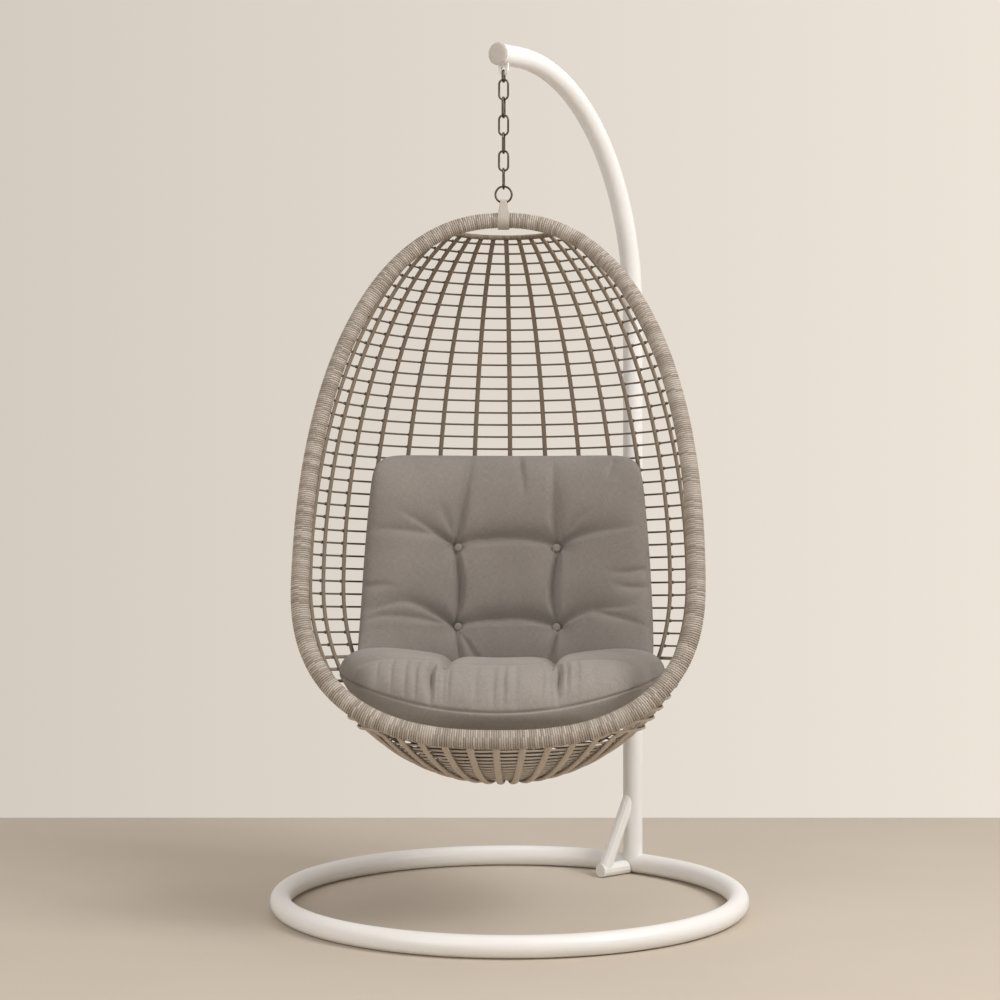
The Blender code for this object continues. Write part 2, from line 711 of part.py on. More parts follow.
def rib_path(theta, start):
    """A back rib's path, whose square end stops just clear of the hub however it slants there."""
    tilt = egg_normal(0, HUB_HEIGHT)
    turn_back = Matrix.Rotation(-math.radians(BOWL_TURN), 3, "X")
    slant = 0.0
    for _ in range(3):
        room = TOUCH_GAP + RIB_FLAT * (math.hypot(tilt.x, tilt.y) + slant)
        foot = height_at(HUB_RADIUS + room, False)
        path = even_points([bowl(theta, z) for z in heights(start, foot, 8 * RIB_SEGMENTS)], RIB_SEGMENTS)
        way = (turn_back @ (path[-2] - path[-1])).xy.normalized()
        slant = abs(way.x * math.cos(theta) - way.y * math.sin(theta))
    return path


def back_ribs(wicker, hang):
    """Ribs from the crown hoop, or the rim beside it, down the back to the hub."""
    crown_clear = CROWN_TUBE / 2 + TOUCH_GAP
    slope = egg_normal(0, CROWN_HEIGHT)
    top = CROWN_HEIGHT - (crown_clear + TOUCH_GAP) * math.hypot(slope.x, slope.y)
    for k in range(-BACK_RIBS, BACK_RIBS + 1):
        theta = math.radians(RIB_STEP * k)
        start = top
        while rim_distance(wall(theta, start)) < RIB_RADIUS + TOUCH_GAP:
            start -= SEARCH_STEP
        piece = rod(rib_path(theta, start), RIB_RADIUS)
        place(f"back_rib_{k + BACK_RIBS + 1:02d}", piece, wicker, parent=hang)


def bowl_spider(wicker, hang):
    """The hub under the bowl, in one piece with the ribs that rise to the rim's front."""
    turns = round(360 / RIB_STEP)
    level = HUB_HEIGHT
    sides = turns
    flat = HUB_RADIUS / math.cos(math.pi / sides)
    profile = [(-HUB_THICKNESS / 2, flat * 0.96), (-HUB_THICKNESS / 4, flat)]
    profile += [(HUB_THICKNESS / 4, flat), (HUB_THICKNESS / 2, flat * 0.96)]
    turn = Matrix.Rotation(math.radians(BOWL_TURN), 3, "X")
    middle = Vector((0, 0, EQUATOR))
    centre = middle + turn @ (Vector((0, 0, level)) - middle)
    hub_mesh = turned(centre, turn @ UP, turn @ Vector((0, 1, 0)), profile, sides)
    hub = place("bowl_spider", hub_mesh, wicker, parent=hang)
    ribs = bmesh.new()
    root = height_at(HUB_RADIUS - HUB_THICKNESS, False)
    rib_clear = RIB_RADIUS * RIB_END_ROOM + TOUCH_GAP
    for k in range(BACK_RIBS + 1, turns - BACK_RIBS):
        theta = math.radians(RIB_STEP * k)
        theta -= 2 * math.pi if theta > math.pi else 0.0
        top = RIM_WAIST
        while rim_distance(bowl(theta, top)) < rib_clear or not under_rim(theta, top):
            top -= SEARCH_STEP
        line = [bowl(theta, z) for z in heights(top, root, 8 * RIB_SEGMENTS)]
        piece = rod(even_points(line, RIB_SEGMENTS // 2), RIB_RADIUS)
        data = bpy.data.meshes.new("rib")
        piece.to_mesh(data)
        piece.free()
        ribs.from_mesh(data)
        bpy.data.meshes.remove(data)
    guide = cutter("front_ribs", ribs)
    guide.parent = hang
    boolean(hub, guide, "UNION")


def under_rim(theta, z):
    """Whether a point of the wall lies behind the rim, on the basket's side of it."""
    if z <= RIM_FOOT:
        return True
    return abs(theta) < math.atan2(rim_half_width(z), -RIM_FORWARD * rim_share(z))


def strand_section():
    """A flat-backed strand: its flat lies on the ribs."""
    return [
        (-STRAND_INNER, STRAND_WIDTH / 2),
        (-STRAND_INNER, -STRAND_WIDTH / 2),
        (2 * STRAND_INNER, 0.0),
    ]


def row_end(z, lift):
    """The angle where a row reaches the rim, with room for the strand to turn."""
    clear = STRAND_WIDTH * TURN_ROOM + TOUCH_GAP
    theta = math.radians(RIB_STEP * (BACK_RIBS - 0.5))
    step = math.radians(SEARCH_ANGLE)
    while theta < math.pi and under_rim(theta, z) and rim_distance(wall(theta, z, lift)) > clear:
        theta += step
    return theta - step


def row_points(z, lift):
    """One row from the rim's left to its right: straight over each rib, bent between ribs."""
    end = row_end(z, lift)
    step = math.radians(RIB_STEP)
    outside = 1 / math.cos(step / 2)
    angles = []
    theta = step / 2
    while theta < end - step / 3:
        angles.append(theta)
        theta += step
    points = []
    for theta in [-end] + [-a for a in reversed(angles)] + angles + [end]:
        ease = ROW_EASE if abs(theta) > math.pi / 2 + step / 4 else 0.0
        point = wall(theta, z, lift + ease)
        points.append((Vector((point.x * outside, point.y * outside, point.z)), egg_normal(theta, z)))
    return points


def back_strands(wicker, hang):
    """Wicker strands that run to and fro across the back, each one unbroken."""
    lift = RIB_FLAT + TOUCH_GAP + STRAND_INNER
    levels = heights(CROWN_HEIGHT, RIM_FOOT + RIM_FOOT_TUBE / 2, pitch=ROW_PITCH)[1:]
    share = len(levels) / STRAND_COUNT
    for k in range(STRAND_COUNT):
        path = []
        for i, z in enumerate(levels[round(k * share):round((k + 1) * share)]):
            row = row_points(z, lift)
            path += row[::-1] if i % 2 else row
        points = [p for p, n in path]
        normals = [n for p, n in path]
        mesh = bmesh.new()
        loft(mesh, section_loops(points, normals, [strand_section()] * len(points)))
        place(f"wicker_strand_{k + 1}", mesh, wicker, parent=hang)


def bowl_strand(wicker, hang):
    """The spiral strand inside the bowl, from under the rim's foot to the hub."""
    lift = -(RIB_FLAT + RIB_SAG + TOUCH_GAP + STRAND_INNER)
    start = RIM_FOOT - RIM_FOOT_TUBE / 4
    end = height_at(HUB_RADIUS + BOWL_PITCH, False)
    turns = len(heights(start, end, pitch=BOWL_PITCH)) - 1
    levels = heights(start, end, turns * BOWL_SEGMENTS)
    points = []
    normals = []
    for i, z in enumerate(levels):
        theta = math.remainder(2 * math.pi * i / BOWL_SEGMENTS, 2 * math.pi)
        points.append(bowl(theta, z, lift))
        normals.append(Vector((0, 0, EQUATOR)) - points[-1])
    mesh = bmesh.new()
    loft(mesh, section_loops(points, normals, [strand_section()] * len(points)))
    place("bowl_strand", mesh, wicker, parent=hang)


def cushion(front, back):
    """Two grids of points that share their edge, skinned into one closed pad."""
    mesh = bmesh.new()
    rows = len(front)
    columns = len(front[0])
    face = [[mesh.verts.new(p) for p in row] for row in front]
    rear = []
    for i in range(rows):
        line = []
        for j in range(columns):
            edge = i in (0, rows - 1) or j in (0, columns - 1)
            line.append(face[i][j] if edge else mesh.verts.new(back[i][j]))
        rear.append(line)
    for i in range(rows - 1):
        for j in range(columns - 1):
            mesh.faces.new((face[i][j], face[i][j + 1], face[i + 1][j + 1], face[i + 1][j]))
            mesh.faces.new((rear[i][j], rear[i + 1][j], rear[i + 1][j + 1], rear[i][j + 1]))
    bmesh.ops.triangulate(mesh, faces=mesh.faces)
    return mesh


def steps(count):
    """Shares from -1 to 1, closer together near the ends."""
    return [math.sin(math.pi / 2 * (2 * i / count - 1)) for i in range(count + 1)]


def crown(u, v):
    """How full a pad is, from 0 at its sewn edge to 1 in its middle."""
    return math.sqrt(max((1 - u ** 4) * (1 - v ** 4), 0.0))


def tuft_dip(x, other, places):
    """Depth of the sewn tufts and of the shallow channels between them."""
    dip = 0.0
    for across, along in places:
        away = ((x - across) ** 2 + (other - along) ** 2) / TUFT_REACH ** 2
        channel = ((x - across) / CHANNEL_REACH) ** 2
        dip = max(dip, TUFT_DEPTH * math.exp(-away), CHANNEL_DEPTH * math.exp(-channel))
    return dip


def pairs(values):
    """Tuft places on both sides of the middle."""
    return [(side * TUFT_SPREAD, value) for value in values for side in (-1, 1)]


def wall_inset(z):
    """Room that the ribs and a touch gap take inside the wall, measured level."""
    slope = egg_normal(0, z)
    return (RIB_FLAT + RIB_SAG + 2 * TOUCH_GAP) / max(math.hypot(slope.x, slope.y), FLATTEST_SLOPE)


def nearest(mesh, tree, way):
    """Shortest way from points on a mesh's edges to another surface, in one direction."""
    found = EGG_RADIUS
    for edge in mesh.edges:
        start, end = (v.co for v in edge.verts)
        for k in range(EDGE_SAMPLES):
            reach = tree.ray_cast(start.lerp(end, k / EDGE_SAMPLES), way)[3]
            found = min(found, reach or EGG_RADIUS)
    return found


def lay_in(pad, way):
    """Lifts a pad clear of the wall, then moves it back until it just rests on rods or strands."""
    bmesh.ops.translate(pad, verts=pad.verts, vec=-way * LAY_IN_LIFT)
    rests = bmesh.new()
    for item in bpy.data.objects:
        if item.name.startswith(CUSHION_RESTS):
            rests.from_mesh(item.data)
    room = nearest(rests, BVHTree.FromBMesh(pad), -way)
    room = min(room, nearest(pad, BVHTree.FromBMesh(rests), way))
    rests.free()
    bmesh.ops.translate(pad, verts=pad.verts, vec=way * (room - 2 * TOUCH_GAP))
    return pad


def back_cushion(fabric, hang):
    """The back pad: its rear lies along the wall, its face has four tufts."""
    front = []
    rear = []
    middle = (BACK_TOP + BACK_FOOT) / 2
    half = (BACK_TOP - BACK_FOOT) / 2
    places = pairs(BACK_TUFT_HEIGHTS)
    for v in steps(CUSHION_ROWS):
        front_row = []
        rear_row = []
        wide = BACK_FOOT_HALF_WIDTH + (BACK_TOP_HALF_WIDTH - BACK_FOOT_HALF_WIDTH) * (v + 1) / 2
        for u in steps(CUSHION_COLUMNS):
            x = wide * u * math.sqrt(1 - BACK_CORNERS[0] * v * v)
            z = middle + half * v * math.sqrt(1 - BACK_CORNERS[1] * u * u)
            full = crown(u, v)
            room = egg_radius(z) - wall_inset(z)
            y = math.sqrt(room ** 2 - x ** 2) - BACK_SEAM_PULL * (1 - full)
            rear_row.append(Vector((x, y, z)))
            thick = BACK_THICKNESS * full
            front_row.append(Vector((x, y - thick + tuft_dip(x, z, places) * full, z)))
        front.append(front_row)
        rear.append(rear_row)
    mesh = lay_in(cushion(front, rear), Vector((0, 1, 0)))
    pad = place("back_cushion", mesh, fabric, parent=hang, smooth=80)
    buttons("back_button", pad, [(x, 0.0, z) for x, z in places], Vector((0, 1, 0)), fabric, hang)


def seat_cushion(fabric, hang):
    """The seat pad: its underside follows the bowl, its top has four tufts."""
    front = []
    rear = []
    centre = (SEAT_BACK - SEAT_FRONT) / 2
    half = (SEAT_BACK + SEAT_FRONT) / 2
    places = pairs([-d for d in SEAT_TUFT_DEPTHS])
    for v in steps(CUSHION_ROWS):
        front_row = []
        rear_row = []
        for u in steps(CUSHION_COLUMNS):
            x = SEAT_HALF_WIDTH * u * math.sqrt(1 - SEAT_CORNERS[0] * v * v)
            y = centre + half * v * math.sqrt(1 - SEAT_CORNERS[1] * u * u)
            full = crown(u, v)
            reach = math.hypot(x, y)
            floor = height_at(min(reach + wall_inset(SEAT_UNDERSIDE), EGG_RADIUS - TOUCH_GAP), False)
            under = max(SEAT_UNDERSIDE, floor + RIB_DIAMETER)
            seam = SEAT_SEAM + SEAT_CURL * (x / SEAT_HALF_WIDTH) ** 2
            rear_row.append(Vector((x, y, seam + (min(under, seam) - seam) * full)))
            front_row.append(Vector((x, y, seam + (SEAT_CROWN - tuft_dip(x, y, places)) * full)))
        front.append(front_row)
        rear.append(rear_row)
    mesh = lay_in(cushion(front, rear), Vector((0, 0, -1)))
    pad = place("seat_cushion", mesh, fabric, parent=hang, smooth=80)
    buttons("seat_button", pad, [(x, y, SEAT_TOP) for x, y in places], Vector((0, 0, -1)), fabric, hang)


def buttons(name, pad, places, inward, finish, hang):
    """Covered buttons sunk in a pad's tufts, each just clear of the cloth under it."""
    data = pad.data
    tree = BVHTree.FromPolygons([v.co for v in data.vertices], [p.vertices for p in data.polygons])
    side = Vector((1, 0, 0))
    other = inward.cross(side)
    radius = BUTTON_DIAMETER / 2
    for i, spot in enumerate(places):
        start = Vector(spot) - inward * EGG_RADIUS
        shallow = 2 * EGG_RADIUS
        for k in range(4 * ROUND_SIDES):
            a = math.pi * k / ROUND_SIDES
            away = radius if k < 2 * ROUND_SIDES else radius / 2
            edge = start + (side * math.cos(a) + other * math.sin(a)) * away
            shallow = min(shallow, tree.ray_cast(edge, inward)[3])
        seat = start + inward * (shallow - 2 * TOUCH_GAP)
        profile = [
            (0.0, radius),
            (BUTTON_HEIGHT * 0.45, radius * 0.97),
            (BUTTON_HEIGHT * 0.8, radius * 0.72),
            (BUTTON_HEIGHT, radius * 0.35),
        ]
        mesh = turned(seat, -inward, side, profile, BUTTON_SIDES)
        place(f"{name}_{i + 1}", mesh, finish, parent=hang, smooth=80)


def main():
    """Builds every piece."""
    for item in list(bpy.data.objects):
        bpy.data.objects.remove(item)
    white = material("white powder coat", (0.86, 0.85, 0.83), 0.38)
    grey = material("grey plug plastic", (0.60, 0.56, 0.52), 0.5)
    steel = material("dark chain steel", (0.07, 0.055, 0.04), 0.35, 1.0)
    bare = material("bare rim steel", (0.35, 0.34, 0.33), 0.4, 1.0)
    band = material("strap leather grey", (0.58, 0.53, 0.48), 0.7)
    wicker = material("taupe resin wicker", (0.36, 0.29, 0.23), 0.6)
    fabric = material("grey taupe fabric", (0.30, 0.27, 0.245), 0.9)

    stand(white, grey)
    hang_point = chain(steel)
    hang = bpy.data.objects.new("basket_hang", None)
    hang.location = hang_point
    hang.rotation_euler = (math.radians(-BASKET_LEAN), 0, math.radians(-BASKET_TURN))
    bpy.context.scene.collection.objects.link(hang)
    strap(band, hang)
    rim(bare, wicker, hang)
    crown_hoop(wicker, hang)
    back_ribs(wicker, hang)
    bowl_spider(wicker, hang)
    back_strands(wicker, hang)
    bowl_strand(wicker, hang)
    seat_cushion(fabric, hang)
    back_cushion(fabric, hang)


main()
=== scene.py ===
import json
import math

import bmesh
import bpy
import numpy as np
from mathutils import Euler, Matrix, Vector


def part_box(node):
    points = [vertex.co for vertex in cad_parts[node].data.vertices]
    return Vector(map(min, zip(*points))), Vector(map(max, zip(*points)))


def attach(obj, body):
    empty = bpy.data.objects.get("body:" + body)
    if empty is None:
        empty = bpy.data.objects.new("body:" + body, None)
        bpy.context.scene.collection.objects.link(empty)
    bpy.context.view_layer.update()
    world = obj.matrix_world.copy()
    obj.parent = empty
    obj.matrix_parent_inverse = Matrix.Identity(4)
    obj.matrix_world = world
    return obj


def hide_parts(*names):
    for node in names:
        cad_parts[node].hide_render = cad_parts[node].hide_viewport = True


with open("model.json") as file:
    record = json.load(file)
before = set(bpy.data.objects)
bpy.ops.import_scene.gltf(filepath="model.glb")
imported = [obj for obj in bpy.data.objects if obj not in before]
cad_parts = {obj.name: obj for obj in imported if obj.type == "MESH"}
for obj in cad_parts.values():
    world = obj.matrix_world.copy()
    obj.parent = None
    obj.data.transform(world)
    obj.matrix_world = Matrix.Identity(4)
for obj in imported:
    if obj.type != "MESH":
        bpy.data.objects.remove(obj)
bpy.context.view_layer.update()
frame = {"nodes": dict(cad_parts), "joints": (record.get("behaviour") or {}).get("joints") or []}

bl_info = {
    "name": "Hanging egg chair",
    "version": (1, 0, 0),
    "blender": (4, 5, 0),
    "location": "3D View > Sidebar > Egg chair",
    "description": "Dresses the solids of a hanging egg chair with cane, chain, tube and cushions",
    "category": "Object",
}

# Sizes that the solids fix, in metres and radians
RING_PATH = 0.5035
RING_HEIGHT = 0.02318
MAST_TUBE = 0.046
ARM_TURN = math.radians(35.7)
MAST_SPLIT = 0.80
BEND_START = 1.32
BEND_REACH = 0.47
BEND_RISE = 0.56
ARM_LENGTH = 0.545
CHAIN_WIRE = 0.0046
LINK_COUNT = 7
LINK_PITCH = 0.0392
FIRST_LINK_PITCH = 0.0200
LINK_WIDTH = 0.0250
FIRST_LINK_WIDTH = 0.0200
LINK_STEP = 0.0049
CHAIN_TURN = math.radians(18.0)
BASKET_TURN = math.radians(2.6)
BASKET_LEAN = math.radians(5.0)
HANGER_RING = 0.0405
STRAP_DROP = 0.039
STRAP_THICKNESS = 0.0022
STRAP_EYE_WIDTH = 0.0150
STRAP_GRIP_WIDTH = 0.0250
EGG_RADIUS = 0.426
EGG_UPPER = 0.822
EGG_LOWER = 0.424
EGG_RISE = 0.022
RIM_HALF_WIDTH = 0.414
RIM_UPPER = 0.784
RIM_UPPER_POWER = 2.25
RIM_LOWER = 0.335
RIM_LOWER_POWER = 2.52
RIM_FORWARD = 0.300
RIM_TOP_TUBE = 0.035
RIM_FOOT_TUBE = 0.041
RIB_STEP = math.radians(12.0)
RIB_RADIUS = 0.005
BACK_RIBS = 7
SIDE_RIBS = 9
CROWN_RADIUS = 0.132
CROWN_TUBE = 0.012
HUB_RADIUS = 0.062
ROW_PITCH = 0.0282
STRAND_COUNT = 6
BOWL_PITCH = 0.0205
BOWL_TURN = math.radians(20.0)
BOWL_TURN_POWER = 1.15
BUTTON_COUNT = 4
BUTTON_DIAMETER = 0.018
BUTTON_HEIGHT = 0.008

# Heights of points on the straight parts of the mast, above the ring's path and above the floor
MAST_FOOT = (0.02, 0.05)
ARM_STRAIGHT = (1.0, 1.2)

# Room left between pieces
SADDLE_ROOM = 0.0002
SPLIT_ROOM = 0.0004
STRAP_EYE_ROOM = 0.0028
STRAP_GRIP_ROOM = 0.0012
HOOP_ROOM = 0.0005
RIB_TOP_ROOM = 0.0006
RIB_FOOT_ROOM = 0.0008
BOWL_RIB_ROOM = 0.001
ROW_ROOM = 0.0012
LOW_ROW_ROOM = 0.0060
WALL_ROOM = 0.0056
PAD_ROOM = 0.0010
SEAT_FLOOR_ROOM = 0.010

# Steps of the searches for room at the rim
SEARCH_TURN = math.radians(0.25)
SEARCH_DROP = 0.001

# Fineness of the meshes: parts along a line and sides round it
RING_PARTS = 192
TUBE_SIDES = 36
BEND_PARTS = 60
LINK_PARTS = 16
HANGER_PARTS = 48
WIRE_SIDES = 14
STRAP_EYE_PARTS = 12
STRAP_GRIP_PARTS = 30
STRAP_SIDES = 20
RIM_FINE_PARTS = 2400
RIM_PARTS = 360
RIM_TURN_PARTS = 13
HOOP_PARTS = 80
HOOP_TURN_PARTS = 10
CANE_SIDES = 6
EGG_SIDE_PARTS = 600
RIB_PARTS = 90
RIB_SIDES = 12
ROW_PART = math.radians(3.0)
ROW_LEAST_PARTS = 8
ROW_TURN_PARTS = 6
ROW_SIDES = 8
HUB_PARTS = 48
BOWL_TURN_PARTS = 90
BOWL_EDGE_PARTS = 30
BOWL_LEAST_POINTS = 8
BOWL_ROW_SIDES = 10
PAD_PARTS = (240, 188)
FRONT_ORDER = (0, 1, 2, 3)
REAR_ORDER = (0, 3, 2, 1)
BUTTON_SIDES = 32

# Wicker that the scene adds
HOOP_CANE = 0.0036
CANE_RADIUS_SHARE = 0.53
KNOT_HEIGHT_SHARE = 0.75
RIM_TONE_SPREAD = 0.8
HOOP_SHADES = (1.25, 0.7)
RIB_SHADES = (1.2, 0.72)
ROW_SHADES = (1.3, 0.75)
BOWL_SHADES = (1.25, 0.7)
ROW_EASE = 0.0025
ROW_EASE_TURN = math.radians(20.0)
LOW_ROW_WIDTH_SHARE = 1.8
TIE_TURN_ROOM = math.radians(2.0)
TIE_CROWN_ROOM = 0.01
TIE_LIFT_SHARE = 0.2
BOWL_FRONT = math.radians(80.0)
BOWL_CLOSE_TURNS = 6
BOWL_EDGE_RISE = 0.006
BOWL_RIB_WIDTH_SHARE = 1.45
BOWL_ROW_SINK = 0.0024
BOWL_ROW_DEPTH = 0.0044
HUB_OVERLAP_SHARE = 0.9
HUB_FIRST_RING = 0.006
HUB_RING_PITCH = 0.0075
STRAP_EDGE_POWER = 0.35
STRAP_FACE_POWER = 0.6

# Heights over which the bowl's ribs turn to the back ribs' darker tone, and depths over which its rows turn
# to the back rows' dark tone; both are painted shade of the egg's inside
BOWL_RIB_SHADE_HEIGHTS = (0.42, 0.58)
BOWL_ROW_SHADE_DEPTHS = (-0.12, 0.02)

# Form of the cushions in the basket's axes
SEAT_HALF_WIDTH = 0.354
SEAT_FRONT = 0.262
SEAT_BACK = 0.315
SEAT_SEAM = -1.078
SEAT_CROWN = 0.106
SEAT_BASE = 0.050
SEAT_CURL = 0.075
SEAT_CORNERS = (0.42, 0.42)
SEAT_FLOOR_SLOPE = 0.3
EGG_EDGE_ROOM = 0.0003
BACK_TOP_HALF_WIDTH = 0.309
BACK_FOOT_HALF_WIDTH = 0.340
BACK_TOP = -0.535
BACK_FOOT = -1.042
BACK_THICKNESS = 0.150
BACK_SEAM_PULL = 0.035
BACK_FOOT_PULL = 0.030
BACK_CORNERS = (0.05, 0.04)
CORNER_PULL = 0.055
CORNER_POWER = 12

# Height map of the back cushion's underside, which presses the seat down
PLAN_HALF = 0.45
PLAN_CELL = 0.004
PRESS_PASSES = 4

# Dents of the cushions: places, depths, reaches, and powers that say how round their bottoms are
CREASE_POWER = 1.3
CREASE_OVERLAP = 0.2
BACK_TUFT_REACH = 0.026
BACK_TUFT_POWER = 1.1
SEAT_TUFT_REACH = 0.019
SEAT_TUFT_POWER = 1.3
SEAT_TUFTS = (-0.13, 0.08)
TUFT_SPREAD = 0.112
PLEAT_START = 0.30
PLEAT_RUN = 0.5
PLEAT_FAN = 0.10
PLEAT_POWER = 1.4
VALLEY_REACH = 0.013
VALLEY_POWER = 1.2
VALLEY_DEPTH = 0.020
VALLEY_EASE = 0.010
VALLEY_EASE_START = 0.02
VALLEY_EASE_RUN = 0.05
CROSS_VALLEY_DEPTH = 0.012
SEAM_DEPTH = 0.0045
SEAM_REACH = 0.035
SEAM_POWER = 2

# Swelling of the cushions: how far they rise, and the dent depth and fullness at which they are held
BACK_SWELL = 0.024
BACK_HELD_DEPTH = 0.018
BACK_HELD_EDGE = 0.3
BACK_EDGE_FADE = 1.6
SEAT_SWELL = 0.020
SEAT_HELD_DEPTH = 0.016
SEAT_HELD_EDGE = 0.25
SEAT_EDGE_FADE = 1.8
HELD_LEAST = 0.02
SWELL_FRAMES = 20
SWELL_PASSES = 6
SWELL_CLOTH = {
    "quality": 4,
    "mass": 0.25,
    "tension_stiffness": 12.0,
    "compression_stiffness": 12.0,
    "shear_stiffness": 4.0,
    "bending_stiffness": 3.0,
    "use_pressure": True,
    "uniform_pressure_force": 4.0,
}

# Stage; each lamp has a name, a place, a size and a power
FLOOR_HALF = 7
FLOOR_BACK = 1.18
# Painted light on the background: darker at the left and lighter at the right, as if lit from the right
WALL_PAINTED_LIGHT_TONES = (0.88, 1.14)
SKY_COLOUR = (1.0, 0.95, 0.89, 1.0)
SKY_STRENGTH = 0.46
LAMPS = (
    ("key", (3.2, -2.0, 3.9), 2.0, 162.0),
    ("fill", (-2.6, -3.6, 2.4), 2.6, 55.0),
    ("top", (0.6, 0.8, 4.4), 2.6, 25.0),
)
LAMP_AIM = Vector((0, 0, 0.9))
CAMERA_PLACE = (-0.021, -5.5, 1.12)
CAMERA_LENS = 89.68
CAMERA_SENSOR = 36.0
CAMERA_SHIFT = -0.1

# Places that follow from the sizes
RIM_TOP = -STRAP_DROP
RIM_WAIST = RIM_TOP - RIM_UPPER
RIM_FOOT = RIM_WAIST - RIM_LOWER
EQUATOR = RIM_TOP + EGG_RISE - EGG_UPPER
UP = Vector((0, 0, 1))
ARM_OUT = Vector((math.sin(ARM_TURN), math.cos(ARM_TURN), 0))
JOINTS = {joint["name"]: joint for joint in frame["joints"]}
HANG = Matrix.Translation(JOINTS["basket_nod"]["pos_m"])
HANG = HANG @ Euler((-BASKET_LEAN, 0, -BASKET_TURN)).to_matrix().to_4x4()


def size_property(name, description, value):
    """A length in metres."""
    return bpy.props.FloatProperty(name=name, description=description, default=value, unit="LENGTH")


def colour_property(name, description, value):
    """A colour without alpha."""
    return bpy.props.FloatVectorProperty(name=name, description=description, default=value, subtype="COLOR")


class EggSizes(bpy.types.PropertyGroup):
    """Sizes of what the scene adds to the solids."""
    cane: size_property("Cane", "Thickness of the winding cane", 0.0048)
    rib_width: size_property("Rib width", "Width of a rib", 0.0105)
    rib_depth: size_property("Rib depth", "Thickness of a rib through the wall", 0.0084)
    row: size_property("Row", "Thickness of a woven row of the back", 0.0044)
    bowl_row: size_property("Bowl row", "Width of a woven row of the bowl", 0.0046)
    knot: size_property("Knot", "Size of the knots on the ribs", 0.0082)
    weave: size_property("Weave", "Thread pitch of the cushion cloth", 0.0022)


class EggColours(bpy.types.PropertyGroup):
    """Colours of the finishes."""
    white: colour_property("Powder coat", "Stand tubes", (0.885, 0.868, 0.842))
    plug: colour_property("Plug", "End plug of the arm", (0.60, 0.55, 0.50))
    steel: colour_property("Chain steel", "Chain and ring", (0.085, 0.07, 0.055))
    strap: colour_property("Strap", "Hanger strap", (0.48, 0.43, 0.375))
    cane_light: colour_property("Light cane", "Palest strands of the winding", (0.60, 0.54, 0.475))
    cane_dark: colour_property("Dark cane", "Darkest strands of the winding", (0.27, 0.22, 0.175))
    # Rib and row: the cane's own tone darkened with painted shade, as the back is seen inside the egg; Bowl
    # is the same cane's tone where it is lit from outside
    rib: colour_property("Rib", "Ribs and hoop", (0.255, 0.200, 0.148))
    row: colour_property("Row", "Woven rows and knots", (0.155, 0.118, 0.085))
    bowl: colour_property("Bowl", "Ribs and rows under the seat", (0.52, 0.45, 0.37))
    cloth: colour_property("Cloth", "Cushion fabric", (0.335, 0.298, 0.266))
    floor: colour_property("Floor", "Studio floor", (0.575, 0.498, 0.412))
    wall: colour_property("Wall", "Studio background", (0.745, 0.680, 0.605))


def feed(tree, slot, value):
    """Links a socket to a slot, or sets the slot to a plain value."""
    if isinstance(value, Socket):
        value = value.socket
    if isinstance(value, bpy.types.NodeSocket):
        tree.links.new(value, slot)
    else:
        slot.default_value = value


def add_node(tree, kind, settings=None, **inputs):
    """Adds a node and returns its outputs; an input goes by its label or, as _0, by its place."""
    node = tree.nodes.new(kind)
    for key, value in (settings or {}).items():
        setattr(node, key, value)
    for key, value in inputs.items():
        feed(tree, node.inputs[int(key[1:]) if key[0] == "_" else key.replace("_", " ")], value)
    return node.outputs


class Socket:
    """A shader socket that can stand in a formula."""

    def __init__(self, tree, socket):
        self.tree = tree
        self.socket = socket

    def _math(self, operation, *others):
        places = {f"_{i}": value for i, value in enumerate((self, *others))}
        return Socket(self.tree, add_node(self.tree, "ShaderNodeMath", {"operation": operation}, **places)[0])

    def __add__(self, other):
        return self._math("ADD", other)

    def __sub__(self, other):
        return self._math("SUBTRACT", other)

    def __mul__(self, other):
        return self._math("MULTIPLY", other)

    def sine(self):
        return self._math("SINE")

    def floor(self):
        return self._math("FLOOR")

    def larger(self, other):
        return self._math("MAXIMUM", other)

    def clamp(self, low, high):
        return self.larger(low)._math("MINIMUM", high)


class Shading:
    """A shader tree under construction; node() adds any node and returns one of its outputs."""

    def __init__(self, tree):
        self.tree = tree

    def node(self, kind, output, settings=None, **inputs):
        return Socket(self.tree, add_node(self.tree, kind, settings, **inputs)[output])

    def mix(self, share, low, high):
        low, high = (end if isinstance(end, Socket) else (*end, 1.0) for end in (low, high))
        return self.node("ShaderNodeMix", 2, {"data_type": "RGBA"}, _0=share, _6=low, _7=high)


class Finish(Shading):
    """A material under construction."""

    def __init__(self, name, roughness, **constants):
        self.material = bpy.data.materials.new(name)
        self.material.use_nodes = True
        super().__init__(self.material.node_tree)
        self.inputs = self.tree.nodes["Principled BSDF"].inputs
        self.inputs["Roughness"].default_value = roughness
        for key, value in constants.items():
            self.inputs[key.replace("_", " ")].default_value = value

    def place(self):
        return self.node("ShaderNodeTexCoord", "Object")

    def noise(self, vector, scale, detail=3.0):
        return self.node("ShaderNodeTexNoise", "Fac", Vector=vector, Scale=scale, Detail=detail)

    def stretch(self, vector, x, y):
        """Coordinates scaled unevenly, so that noise runs along a thread."""
        return self.node("ShaderNodeMapping", "Vector", Vector=vector, Scale=(x, y, 1.0))

    def colour(self, value):
        feed(self.tree, self.inputs["Base Color"], value)

    def tones(self, share, colour, low, high):
        """Lets the colour change between a darker and a lighter tone."""
        self.colour(self.mix(share, shade(colour, low), shade(colour, high)))

    def roughness(self, value):
        feed(self.tree, self.inputs["Roughness"], value)

    def bump(self, height, distance, strength):
        normal = self.node("ShaderNodeBump", "Normal", Height=height, Distance=distance, Strength=strength)
        feed(self.tree, self.inputs["Normal"], normal)


def shade(colour, factor):
    """A colour made lighter or darker."""
    return tuple(min(c * factor, 1.0) for c in colour)


def shades(colour, factors):
    """A lighter and a darker tone of a colour."""
    return [shade(colour, factor) for factor in factors]


